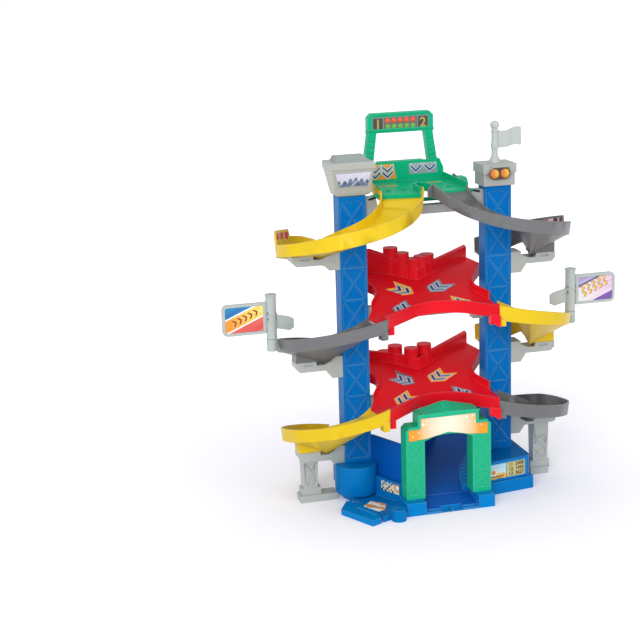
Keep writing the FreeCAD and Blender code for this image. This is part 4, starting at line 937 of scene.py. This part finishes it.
TOWER_X = 115.0
LANE_SHELL = 2.5
LANE_REACH = 119
GATE_ANGLE = 12.0
SIDE_ANGLE = 180.0
EXIT_ANGLE = 265.0
FRONT_ANGLE = {-1: 80.0, 1: 72.0}
FRONT_FLOOR = {-1: 285.0, 1: 281.0}
SIDE_FLOOR = {-1: 238.0, 1: 236.0}
EXIT_FLOOR = 200.0
GATE_FLOOR = 461.0
TOP_RISE = 5.0
ARM_DROP = {-1: (6, 12, 12), 1: (20, 15, 7)}
HALF_SHELL = LANE_SHELL / 2
FLOOR_SHELL = 3.0
WALL_FOOT = 3.5

# Heights over the lane's own line at a few angles, in millimetres
TURN_SHAPES = {
    "turn_left_1": {
        "side": -1, "level": 1, "inner": 54, "draw": 5, "look": "track yellow", "arm_lift": 8.5,
        "outer": (
            (12, 17), (40, 19), (110, 20), (150, 16.5), (183, 18), (185, 37), (230, 48), (232, 38),
            (246, 40), (257, 38), (265, 24)),
        "low": ((12, -3), (120, -3), (160, -2), (180, 0), (265, 0)),
        "lip": ((12, 13), (40, 17), (180, 17), (265, 20))},
    "turn_right_1": {
        "side": 1, "level": 1, "inner": 58, "draw": 5, "look": "track grey",
        "outer": (
            (12, 20), (150, 20), (179, 18), (180.5, 30), (222, 31), (230, 24), (265, 22)),
        "low": ((12, 1), (60, 2), (120, 0), (150, -1), (265, -2)),
        "lip": ((12, 11), (60, 12), (120, 15), (265, 19))},
    "turn_left_2": {
        "side": -1, "level": 2, "inner": 54, "draw": 2, "look": "track grey", "hook": -11,
        "outer": ((80, 20), (180, 21), (265, 21)),
        "low": ((80, -1), (100, 1.5), (180, 1.5), (230, 0), (265, -3)),
        "lip": ((80, 9), (110, 9), (180, 16), (265, 19))},
    "turn_right_2": {
        "side": 1, "level": 2, "inner": 54, "draw": 4, "look": "track yellow", "hook": -4,
        "outer": ((72, 28), (110, 27), (150, 24), (180, 21), (265, 21)),
        "low": ((72, 5), (110, 6.5), (150, 5.5), (180, 4), (230, 0), (265, -3)),
        "lip": ((72, 20), (110, 19), (180, 19), (265, 19))},
    "turn_left_3": {
        "side": -1, "level": 3, "inner": 54, "draw": 5, "look": "track yellow", "hook": -7,
        "outer": ((80, 27), (100, 25), (130, 23.5), (180, 24), (230, 21), (265, 21)),
        "low": ((80, 5), (100, 5), (120, 3.5), (180, 3.5), (230, 0), (265, -3)),
        "lip": ((80, 13), (100, 8), (180, 18), (265, 19))},
    "turn_right_3": {
        "side": 1, "level": 3, "inner": 54, "draw": 5, "look": "track grey", "arm_lift": 13,
        "hook": -4,
        "outer": ((72, 24), (130, 23), (180, 25), (210, 30), (240, 30), (265, 24)),
        "low": ((72, 3), (130, 4), (180, 4), (230, 1), (265, -3)),
        "lip": ((72, 22), (120, 22), (180, 20), (265, 20))},
}


def along(stations, angle):
    """A value between the nearest two stations of a list of angles and values."""
    for (start, low), (end, high) in zip(stations, stations[1:]):
        if angle <= end:
            share = max(angle - start, 0) / (end - start)
            return low + (high - low) * share
    return stations[-1][1]


def turn_place(shape, radius, degrees):
    """Plan point of a turn: 0 degrees faces the middle, 90 the front, 180 outwards."""
    angle = math.radians(degrees)
    reach = radius - 9.0 * max(math.cos(angle), 0) ** 2
    reach -= shape["draw"] * max(-math.cos(angle), 0) ** 2
    return shape["side"] * (TOWER_X - reach * math.cos(angle)), -reach * math.sin(angle)


def side_height(shape):
    """Height of the lane's line where it is farthest out."""
    lift = TOP_RISE if shape["level"] == 1 else 0.0
    return SIDE_FLOOR[shape["side"]] - LEVEL_PITCH * (shape["level"] - 2) + lift


def lane_line(shape, angle):
    """Height of the lane's line: a smooth curve through a few heights."""
    side = shape["side"]
    drop = LEVEL_PITCH * (shape["level"] - 2)
    stations = [
        (FRONT_ANGLE[side], FRONT_FLOOR[side] - drop), (SIDE_ANGLE, side_height(shape)),
        (EXIT_ANGLE, EXIT_FLOOR - drop)]
    if shape["level"] == 1:
        stations.insert(0, (GATE_ANGLE, GATE_FLOOR))
    angle = max(angle, stations[0][0])
    last = len(stations) - 1
    leans = []
    for index in range(last + 1):
        before, after = stations[max(index - 1, 0)], stations[min(index + 1, last)]
        leans.append((after[1] - before[1]) / (after[0] - before[0]))
    index = 0
    while index < last - 1 and angle > stations[index + 1][0]:
        index += 1
    (start, low), (end, high) = stations[index], stations[index + 1]
    share = (angle - start) / (end - start)
    rise = share * share * (3 - 2 * share)
    lean = share * (1 - share) ** 2 * leans[index] - share * share * (1 - share) * leans[index + 1]
    return low + (high - low) * rise + (end - start) * lean


def first_angle(shape):
    """Where a lane starts."""
    return GATE_ANGLE if shape["level"] == 1 else FRONT_ANGLE[shape["side"]]


def make_turn(node_name, shape):
    """One lane with its hook, its funnel and the block that plugs onto the bracket's arm."""
    first = first_angle(shape)
    angles = set(range(int(first) + 4, int(EXIT_ANGLE) - 1, 4)) | {first, EXIT_ANGLE}
    angles |= {angle for angle, _ in shape["outer"]}
    inner = shape["inner"]

    def rail(radius, kind, lift=0.0):
        points = []
        for angle in sorted(angles):
            height = lane_line(shape, angle) + (along(shape[kind], angle) + lift)
            points.append((*turn_place(shape, radius, angle), height))
        return points

    edge = LANE_REACH - WALL_FOOT
    parts = [
        draw_band("outer", rail(edge, "low"), rail(LANE_REACH - HALF_SHELL, "outer"), LANE_SHELL),
        draw_band(
            "floor", rail(inner + 1, "low", FLOOR_SHELL / 2), rail(edge, "low", FLOOR_SHELL / 2),
            FLOOR_SHELL),
        draw_band(
            "inner", rail(inner + HALF_SHELL, "low"), rail(inner + HALF_SHELL, "lip"), LANE_SHELL),
        make_funnel(shape), make_block(shape), make_hook(shape)]
    if shape["level"] == 1:
        parts.append(make_lead_wall(shape))
    piece = finish_shell(f"{node_name}_lane", parts)
    dress(piece, FINISHES[shape["look"]])
    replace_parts(piece, node_name)


def seat_height(shape):
    """Height of the bracket's arm, on which the block and the funnel's tip rest."""
    drop = 3 + ARM_DROP[shape["side"]][shape["level"] - 1]
    return side_height(shape) - drop + shape.get("arm_lift", 0)


TIP_NEAR = 166.0
TIP_FAR = 175.0
TIP_FRONT = -14.8
TIP_BACK = 7.0
TIP_DROP = 4.0
# The funnel's wide rim: its first angle, the turn of each step and the number of steps
OUTER_RUN = (96, 6.5, 16)
INNER_RUN = (200, -14, 8)


def make_funnel(shape):
    """The tapering underside that runs down to a tip on the bracket's arm."""
    side = shape["side"]
    seat = seat_height(shape)
    wide = []
    narrow = []

    def step_to(radius, angle, share):
        """One corner of the wide rim, and the one of the tip that it runs down to."""
        height = lane_line(shape, angle) + along(shape["low"], angle)
        wide.append((*turn_place(shape, radius, angle), max(height, seat + 0.6)))
        x = TIP_NEAR + (TIP_FAR - TIP_NEAR) * share
        narrow.append((side * x, TIP_FRONT + (TIP_BACK - TIP_FRONT) * share, seat - TIP_DROP))

    first, turn, steps = OUTER_RUN
    for step in range(steps + 1):
        step_to(LANE_REACH - 5.5, first + step * turn, step / steps)
    first, turn, steps = INNER_RUN
    for step in range(steps):
        step_to(shape["inner"] + LANE_SHELL, first + step * turn, 1 - (step + 0.5) / steps)
    piece = draw_line("funnel", wide)
    fill_outline()
    add_line(narrow)
    bpy.ops.mesh.select_linked()
    bpy.ops.mesh.edge_face_add()
    open_mesh("FACE")
    bpy.ops.mesh.bridge_edge_loops()
    return piece


BLOCK_NEAR = 171.0
BLOCK_FAR = 208.0
BLOCK_HALF = 13


def make_block(shape):
    """The square block at the outer end of the arm."""
    seat = seat_height(shape)
    rise = lane_line(shape, SIDE_ANGLE) + along(shape["low"], SIDE_ANGLE) + 1 - seat
    outline = [
        (BLOCK_NEAR, -BLOCK_HALF), (BLOCK_FAR, -BLOCK_HALF), (BLOCK_FAR, BLOCK_HALF),
        (BLOCK_NEAR, BLOCK_HALF)]
    return draw_slab("block", [(shape["side"] * x, y, seat) for x, y in outline], (0, 0, rise))


def make_hook(shape):
    """The hook under the lane's upper end."""
    first = first_angle(shape)
    if shape["level"] == 1:
        near, far, foot, top, run = shape["inner"] + 1, LANE_REACH - 4, -3.0, 3.8, -9.0
    else:
        near, far, foot, run = LANE_REACH - 14, LANE_REACH - 1, shape["hook"], 5.0
        top = along(shape["low"], first) + 1
    corners = [
        (*turn_place(shape, radius, first), lane_line(shape, first) + height)
        for radius, height in ((near, foot), (far, foot), (far, top), (near, top))]
    middle = (near + far) / 2
    start = Vector(turn_place(shape, middle, first))
    move = Vector(turn_place(shape, middle, first + run)) - start
    return draw_slab("hook", corners, (*move, 0))


LEAD_X = 70.6
LEAD_END = {-1: 36.0, 1: 62.0}


def make_lead_wall(shape):
    """The inner wall runs on beside the start platform."""
    side = shape["side"]
    front = turn_place(shape, shape["inner"] + HALF_SHELL, GATE_ANGLE)
    line = lane_line(shape, GATE_ANGLE)
    high = line + along(shape["lip"], GATE_ANGLE)
    bend, end = (side * LEAD_X, 6), (side * LEAD_X, LEAD_END[side])
    return draw_band(
        "lead", [(*front, line - 2), (*bend, line), (*end, line + 7)],
        [(*front, high), (*bend, high + 1.5), (*end, line + 20)], 2.0)


def make_gate_wall():
    """The right lane's outer wall curls in towards the divider."""
    low = [(8.4, -22.6, 461), (3.5, -25.2, 461), (-1.5, -26.4, 461.5)]
    high = [(8.4, -22.6, 481), (3.5, -25.2, 479), (-1.5, -26.4, 475)]
    wall = finish_shell("gate_wall", [draw_band("gate_band", low, high, 2.2)], 0.6)
    dress(wall, FINISHES["track grey"])


STRIPE_LOOKS = {
    "red": tint(196, 50, 38), "salmon": tint(240, 164, 136), "pink": tint(206, 122, 134),
    "white": tint(226, 220, 220), "crimson": tint(134, 24, 40), "lilac": tint(204, 190, 218)}
# Each film's room under the wall's rim, and its stripes' angles and looks
TAB_STRIPES = {
    "turn_left_1": (4.0, (
        (200, 211, "red"), (211, 216, "salmon"), (216, 221, "red"), (221, 224.5, "salmon"),
        (224.5, 229, "red"))),
    "turn_right_1": (3.4, (
        (181.5, 185, "crimson"), (185, 188, "lilac"), (188, 194, "crimson"), (194, 200, "white"),
        (200, 206, "pink"))),
}


def stripe_tabs():
    """Films side by side inside the raised outer walls of the two top turns."""
    finishes = {
        look: moulded(f"tab {look}", colour, shine=0.12) for look, colour in STRIPE_LOOKS.items()}
    for node_name, (rim, stripes) in TAB_STRIPES.items():
        shape = TURN_SHAPES[node_name]
        for index, (first, last, look) in enumerate(stripes):
            low = []
            high = []
            for step in range(4):
                angle = first + (last - first) * step / 3
                line = lane_line(shape, angle)
                low.append((*turn_place(shape, LANE_REACH - 3.4, angle), line + 6))
                top = line + along(shape["outer"], angle) - rim
                high.append((*turn_place(shape, LANE_REACH - 2.9, angle), top))
            name = f"{node_name}_stripe_{index + 1}"
            dress(finish_shell(name, [draw_band(name, low, high, 0.4)], 0.08), finishes[look])


# Caps: cab, lamps, flag

CAB_STRETCH = 1.207
CAB_FOOT = 462.0
FRONT_FOOT = (-18.0, 471.7)
FRONT_LEAN = -7 / 39.8
GLASS_OUT = Vector((0, -0.985, -0.173))
BEZEL_STEPS = 28
BEZEL_RADIUS = 8.6
POLE_PROFILE = (
    (9.1, 503), (9.1, 505.2), (8.2, 507.6), (6.2, 510.6), (5.3, 513.4), (4.7, 515), (4.7, 523.4),
    (5.9, 524.2), (5.9, 532.2), (5.0, 533), (4.9, 549), (5.8, 550), (5.8, 552), (4.4, 553),
    (4.8, 554.6), (6.2, 556.8), (6.8, 559.6), (6.2, 562.4), (4.6, 564.6), (2.4, 565.8), (0, 566))
# Places along the waving flag: x, y, its lower edge and its upper edge
FLAG_POINTS = (
    (118.5, 0, 525.3, 551.3), (123, -1.2, 525.2, 550.8), (128, -2.4, 525, 550.4),
    (133, -2.2, 525.5, 550.8), (138, -0.6, 526.4, 552), (142, 1.4, 527.3, 553.2),
    (146, 2.6, 527.8, 554.4), (151, 2.2, 527.9, 555.3), (155.5, 0.4, 527.2, 555),
    (157.6, -0.6, 527.6, 553.2))


def form_cab():
    """The cab's tapering body, its rounded band, its window and its rim."""
    shell = FINISHES["shell grey"]
    reshape_node("control_cab", shell, [
        (lambda p: p.z < 504, (1, 1, CAB_STRETCH), (0, 0, CAB_FOOT))])
    reshape_node("control_cab_roof", FINISHES["roof grey"], [
        (lambda p: p.z > 524, (0.88, 0.76, 1), (-TOWER_X, 0, 529))])

    def on_slope(outline, gap):
        """Points of x and z on the leaning front, so far out of it."""
        return [
            Vector((x - TOWER_X, FRONT_FOOT[0] + FRONT_LEAN * (z - FRONT_FOOT[1]), z)) + GLASS_OUT * gap
            for x, z in outline]

    front = on_slope([(-27.6, 474), (27.6, 474), (31.8, 510.5), (-31.8, 510.5)], -0.1)
    lay("cab_front", front, GLASS_OUT * 0.6, shell, 0.4)
    corners = on_slope([(-22.4, 484.6), (23.1, 485), (29.4, 508), (-28.8, 507.2)], 0.4)
    glass = lay("cab_window_film", corners, GLASS_OUT * 0.4, FINISHES["window"])
    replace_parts(glass, "control_cab_window")
    dress(draw_rim("cab_window_rim", corners, GLASS_OUT * 1.1, 1.2), shell)
    band = [(-148.8, -25.8), (-81.2, -25.8), (-81.2, 25.8), (-148.8, 25.8)]
    lay("cab_band", [(x, y, 510.8) for x, y in band], (0, 0, 10.4), shell, 2.6, 3)


def form_lamps():
    """The stadium-shaped bezel and its two amber caps."""
    outline = []
    for step in range(BEZEL_STEPS):
        angle = math.pi * 2 * step / BEZEL_STEPS
        shift = 8.2 if math.cos(angle) > 1e-6 else -8.2
        x = 113.2 + shift + BEZEL_RADIUS * math.cos(angle)
        outline.append((x, 489.3 + BEZEL_RADIUS * math.sin(angle)))
    corners = facing_front(-24.8, outline)
    bezel = lay("lamp_bezel_rim", corners, (0, -1.2, 0), FINISHES["bezel brown"], 0.5)
    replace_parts(bezel, "lamp_bezel")
    for word, x in (("left", 104.8), ("right", 121.4)):
        dome = make_dome(f"lamp_cap_{word}", (x, -25.9, 489.4), 7.0, 0.26)
        dress(dome, glowing(f"{word} lamp amber", tint(222, 104, 20), tint(238, 186, 26), x))
        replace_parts(dome, f"lamp_lens_{word}")


def form_flag():
    """The ringed pole with its ball, and the waving flag."""
    grey = FINISHES["flag grey"]
    pole = dress(turn_profile("flag_pole_turned", (TOWER_X, 0), POLE_PROFILE), grey)
    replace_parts(pole, "flag_pole")
    low = [(x, y, z) for x, y, z, _ in FLAG_POINTS]
    high = [(x, y, z) for x, y, _, z in FLAG_POINTS]
    band = draw_band("flag_band", low, high, 2.2)
    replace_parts(dress(finish_shell("flag_sheet", [band], 0.5), grey), "flag")


# Brackets and legs: their arms end just past the lanes' blocks

def form_brackets():
    """Shorter arms, raised where the lane rests directly on them, and slimmer legs."""
    grey = FINISHES["bracket grey"]
    for word, side in SIDES:
        for level in (1, 2):
            moves = [
                (lambda p: 160 < abs(p.x) < 185, (-side * 3, 0, 0)),
                (lambda p: abs(p.x) > 185, (-side * 8.5, 0, 0))]
            if (side, level) == (-1, 1):
                moves += [(lambda p: True, (0, 0, 8.5)), (lambda p: p.z < 358, (0, 0, 4))]
            reshape_node(f"bracket_{word}_{level}", grey, moves)
    slim = [
        (lambda p: p.y < -10 and p.z < 60, (0, 4, 0)), (lambda p: p.y > 10 and p.z < 60, (0, -4, 0))]
    reshape_node("leg_left", grey, [
        (lambda p: 160 < abs(p.x) < 192, (5, 0, 0)), (lambda p: abs(p.x) >= 192, (9.3, 0, 0)), *slim])
    reshape_node("leg_right", grey, [
        (lambda p: 160 < abs(p.x) < 192, (-5, 0, 0)), (lambda p: 192 <= abs(p.x) < 205, (-2, 0, 0)),
        (lambda p: abs(p.x) >= 205, (-6, 0, 0)), *slim,
        (lambda p: p.z > 66, (0, 0, 13)), (lambda p: 66 < p.z < 84, (0, 0, 4)),
        (lambda p: abs(p.x) < 165 and 50 < p.z < 60, (0, 0, 17))])


# Crossing plates' ends and the ramp

LIP_END = ((63, 155.2), (78.4, 152), (78.4, 134.6), (73, 136.4), (63, 146.5))
DRUM_PLACE = (-119.0, -14.0)
DRUM_PROFILE = (
    (0, 3), (22, 3), (22, 9), (31, 11), (33, 15), (33, 55.5), (32.4, 57), (31, 57.6), (0, 57.6))
RAMP_FOOT = (-113, 6)
RAMP_SLOPE = 0.22
WALL_OVER_RAMP = 4.04
WALL_UNDER_RAMP = 2.96
RAMP_APEX = 24.0
RAMP_CREST = 68.0
NOTCH_HALF = 76
NOTCH_BACK = 130
INNER_WALL_BACK = 116


def ramp_height(y):
    """Height of the exit ramp's floor."""
    return RAMP_FOOT[1] + RAMP_SLOPE * (y - RAMP_FOOT[0])


def form_plates():
    """The deep right-hand ends of the plates' front lips, and the plates' drawn-in back corners."""
    red = FINISHES["crossing red"]
    for level, lift in PLATE_LEVELS:
        corners = [(x, -117.3, z + lift) for x, z in LIP_END]
        lay(f"{level}_lip_end", corners, (0, 1.5, 0), red, 0.5)
    for level, _ in PLATE_LEVELS:
        reshape_node(f"crossing_{level}", red, [
            (lambda p: p.x < -108 and p.y > 60, (17, 0, 0)),
            (lambda p: p.x > 108 and p.y > 60, (-17, 0, 0))])


def form_ramp():
    """The ramp's low back walls, notched between the towers, the base's left end and the drum."""
    blue = FINISHES["ramp blue"]
    ramp = reshape_node("exit_ramp", blue, [
        (lambda p: p.x < -108, (12, 0, 0)), (lambda p: p.x > 108, (-12, 0, 0)),
        (lambda p: p.z > 90 and p.y > 100, (0, 0, -37)),
        (lambda p: p.z > 90 and 40 < p.y < 100, (0, 0, -50)),
        (lambda p: p.z > 90 and 10 < p.y < 40, (0, 0, -54))])
    outline = [(-NOTCH_HALF, NOTCH_BACK, -5), (0, RAMP_APEX, -5), (NOTCH_HALF, NOTCH_BACK, -5)]
    notch = draw_slab("ramp_notch", outline, (0, 0, 120))
    modify(ramp, "BOOLEAN", operation="DIFFERENCE", object=notch)
    take(notch)
    bpy.ops.object.delete()
    for (word, side), high_end in zip(SIDES, (50, 70)):
        line = [(RAMP_APEX, RAMP_CREST), (high_end, RAMP_CREST)]
        line += [(y, ramp_height(y) + WALL_OVER_RAMP) for y in (high_end + 6, INNER_WALL_BACK)]
        line += [(y, ramp_height(y) - WALL_UNDER_RAMP) for y in (INNER_WALL_BACK, RAMP_APEX)]
        across = side * NOTCH_HALF / (NOTCH_BACK - RAMP_APEX)
        corners = [(across * (y - RAMP_APEX), y, z) for y, z in line]
        lay(f"ramp_inner_wall_{word}", corners, Vector((side * 2.0, -1.4, 0)), blue, 0.5)
    reshape_node("base_left", FINISHES["base blue"], [
        (lambda p: p.x < -100, (0.8, 1, 1), (-100, 0, 0))])
    sill = reshape_node("front_sill", FINISHES["sill blue"], [])
    sill.data.materials.append(blue)
    for face in sill.data.polygons:
        if 0.5 < face.normal.z < 0.99 and abs(face.center.x) < 50 * MM:
            face.material_index = 1
    dress(turn_profile("base_drum", DRUM_PLACE, DRUM_PROFILE, 48), FINISHES["base blue"])


# Base: ramp shelf, films, score board

SHELF = (
    (68, 8), (57, -8), (49, -20), (42, -33), (37, -46), (33.5, -58), (31.5, -68), (30.5, -76),
    (58.2, -76), (90, -14.6), (90, 8))
SHELF_RIBS = ((47, -22), (46, -31), (44, -40), (42.5, -49), (41.5, -58))
RIB_SHAPE = ((0, 0), (6, -1.2), (6.4, 0.6), (0.4, 1.8))
ENTRY_FILM = ((-127, -78), (-112, -106), (-101, -102), (-92, -80), (-110, -60))
PASSAGE_WALL = Vector((-101, -20, 0)), Vector((-71, -78.7, 0))
SCORE_WALL = Vector((67, -74.7, 0)), Vector((146, -60, 0))


def dress_base():
    """The shelf and the films on the ramp and its walls, and the score board's rim and prints."""
    sill = FINISHES["sill blue"]
    corners = [(x, y, ramp_height(y) - 0.5) for x, y in SHELF]
    lay("ramp_shelf", corners, (0, 0, 8.5), FINISHES["base blue"], 1.2, 3)
    for index, (x, y) in enumerate(SHELF_RIBS):
        corners = [(x + across, y + back, ramp_height(y + back) + 8) for across, back in RIB_SHAPE]
        lay(f"shelf_rib_{index + 1}", corners, (0, 0, 0.9), sill, 0.3)
    run = PASSAGE_WALL[1] - PASSAGE_WALL[0]
    out = Vector((run.y, -run.x, 0)).normalized()
    corners = upright(PASSAGE_WALL[0] - out * 0.1, run, (0.42, 0.995), (20, 35))
    lay("wall_film", corners, out * 0.45, checker_wall_print())
    lay("entry_film", [(x, y, 8.9) for x, y in ENTRY_FILM], (0, 0, 0.45), swirl_print())
    run = (SCORE_WALL[1] - SCORE_WALL[0]).normalized()
    out = Vector((run.y, -run.x, 0))
    start = SCORE_WALL[0] + run * 2
    rim = draw_rim("score_rim", upright(start, run, (0, 75), (20.4, 49.6)), out * 1.2, 2.6)
    dress(rim, sill)
    levels = (23.2, 46.8)
    lay("score_picture", upright(start, run, (3, 38), levels), out * 0.4, score_picture_print())
    ground = paint("score table ground", tint(198, 190, 128))
    lay("score_table", upright(start, run, (39.2, 72), levels), out * 0.4, ground)
    ink = paint("score table ink", tint(92, 70, 30))
    turn = math.atan2(run.y, run.x)
    for row, words in enumerate(("11  2408", "12  1950", "13  3627")):
        place = start + run * 56.2 + out * 0.5 + Vector((0, 0, 40.2 - row * 7.4))
        dress(write(f"score_row_{row + 1}", words, 7.6, place, 0.3, 0.22, turn), ink)


FINISHES["window"] = window_print()
for node_name, node in nodes.items():
    key = next(key for key in NODE_FINISHES if node_name.startswith(key))
    node.data.materials.clear()
    node.data.materials.append(FINISHES[NODE_FINISHES[key]])

lay_plate_arrows()
lay_wall_films()
make_display()
dress_arch()
dress_sign("left", -1, 262.4, rally_sign_print())
dress_sign("right", 1, 260.4, boost_sign_print())
for node_name, shape in TURN_SHAPES.items():
    make_turn(node_name, shape)
make_gate_wall()
stripe_tabs()
form_cab()
form_lamps()
form_flag()
form_brackets()
form_platform()
form_plates()
form_ramp()
dress_base()
start_clean()

# Studio

FLOOR_HALF = 9.0
WHITE = (1.0, 1.0, 1.0, 1.0)
BLACK = (0.0, 0.0, 0.0, 1.0)
COOL_WHITE = (0.97, 0.985, 1.0, 1.0)
LAMP_AIM = Vector((0, 0, 0.3))


def lay_floor():
    """The pale floor under the track: it shows white to the camera and keeps the shadow; its glow to
    the camera is weaker near the track, a painted shade around it.
    """
    bpy.ops.mesh.primitive_plane_add(size=2 * FLOOR_HALF, location=(0, 0, 0))
    floor = bpy.context.object
    floor.name = "studio_floor"
    paper = Finish("studio paper")
    path = paper.add("ShaderNodeLightPath", output="Is Camera Ray")
    seen = path | path.out("Is Glossy Ray") | path.out("Is Transmission Ray")
    x, y, _ = paper.axes(paper.place)
    # Less glow near the track darkens the floor around it: painted shade.
    away = (x * x + y * y - 0.06).clamped()
    glow = paper.mix(away, tint(118, 118, 124), tint(205, 205, 206))
    floor.data.materials.append(paper.done(
        Base_Color=paper.mix(paper.noise(60.0), tint(238, 237, 243), tint(244, 243, 248)),
        Roughness=0.9,
        Emission_Color=paper.mix(seen, BLACK, glow),
        Emission_Strength=1.0,
    ))


def fill_room(soft_light):
    """A white room: it shows at full white to the camera and lights the track softly."""
    world = bpy.data.worlds.new("white room")
    bpy.context.scene.world = world
    world.use_nodes = True
    world.node_tree.nodes.clear()
    room = Graph(world.node_tree)
    path = room.add("ShaderNodeLightPath", output="Is Camera Ray")
    seen = room.add("ShaderNodeBackground", {}, {"Color": WHITE, "Strength": 1.0})
    felt = room.add("ShaderNodeBackground", {}, {"Color": COOL_WHITE, "Strength": soft_light})
    either = path | path.out("Is Transmission Ray")
    blend = room.add("ShaderNodeMixShader", {}, {0: either, 1: felt, 2: seen})
    out = room.tree.nodes.new("ShaderNodeOutputWorld")
    room.feed(out.inputs["Surface"], blend)


def hang_lamp(name, place, size, watts):
    """A large soft box that shines from place towards the track's middle."""
    bpy.ops.object.light_add(type="AREA", location=place)
    lamp = bpy.context.object
    lamp.name = name
    lamp.data.shape = "SQUARE"
    lamp.data.size = size
    lamp.data.energy = watts
    lamp.rotation_euler = (LAMP_AIM - Vector(place)).to_track_quat("-Z", "Y").to_euler()


lay_floor()
fill_room(0.66)
hang_lamp("key softbox", (-1.9, -2.9, 1.8), 1.8, 62.0)
hang_lamp("fill softbox", (1.9, -2.4, 1.2), 2.0, 18.0)
hang_lamp("top softbox", (0.2, 0.4, 2.8), 1.6, 8.0)

VIEW_PLACE = Vector((-744.5, -2194.9, 858.2)) * MM
VIEW_RIGHT = Vector((0.9646, -0.2622, -0.0297))
VIEW_DOWN = Vector((-0.0921, -0.2294, -0.969))
VIEW_AHEAD = Vector((0.2473, 0.9374, -0.2454))
SENSOR_WIDTH = 36.0
PICTURE_WIDTH = 640
FOCAL_PIXELS = 1558.86


def set_camera():
    """The camera where the picture was taken from."""
    bpy.ops.object.camera_add()
    camera = bpy.context.object
    camera.name = "front_camera"
    turn = Matrix((VIEW_RIGHT, -VIEW_DOWN, -VIEW_AHEAD)).transposed()
    camera.matrix_world = Matrix.Translation(VIEW_PLACE) @ turn.to_4x4()
    camera.data.sensor_width = SENSOR_WIDTH
    camera.data.lens = SENSOR_WIDTH * FOCAL_PIXELS / PICTURE_WIDTH
    camera.data.clip_start = 0.05
    camera.data.clip_end = 40.0
    bpy.context.scene.camera = camera


set_camera()
bpy.context.scene.view_settings.view_transform = "Standard"
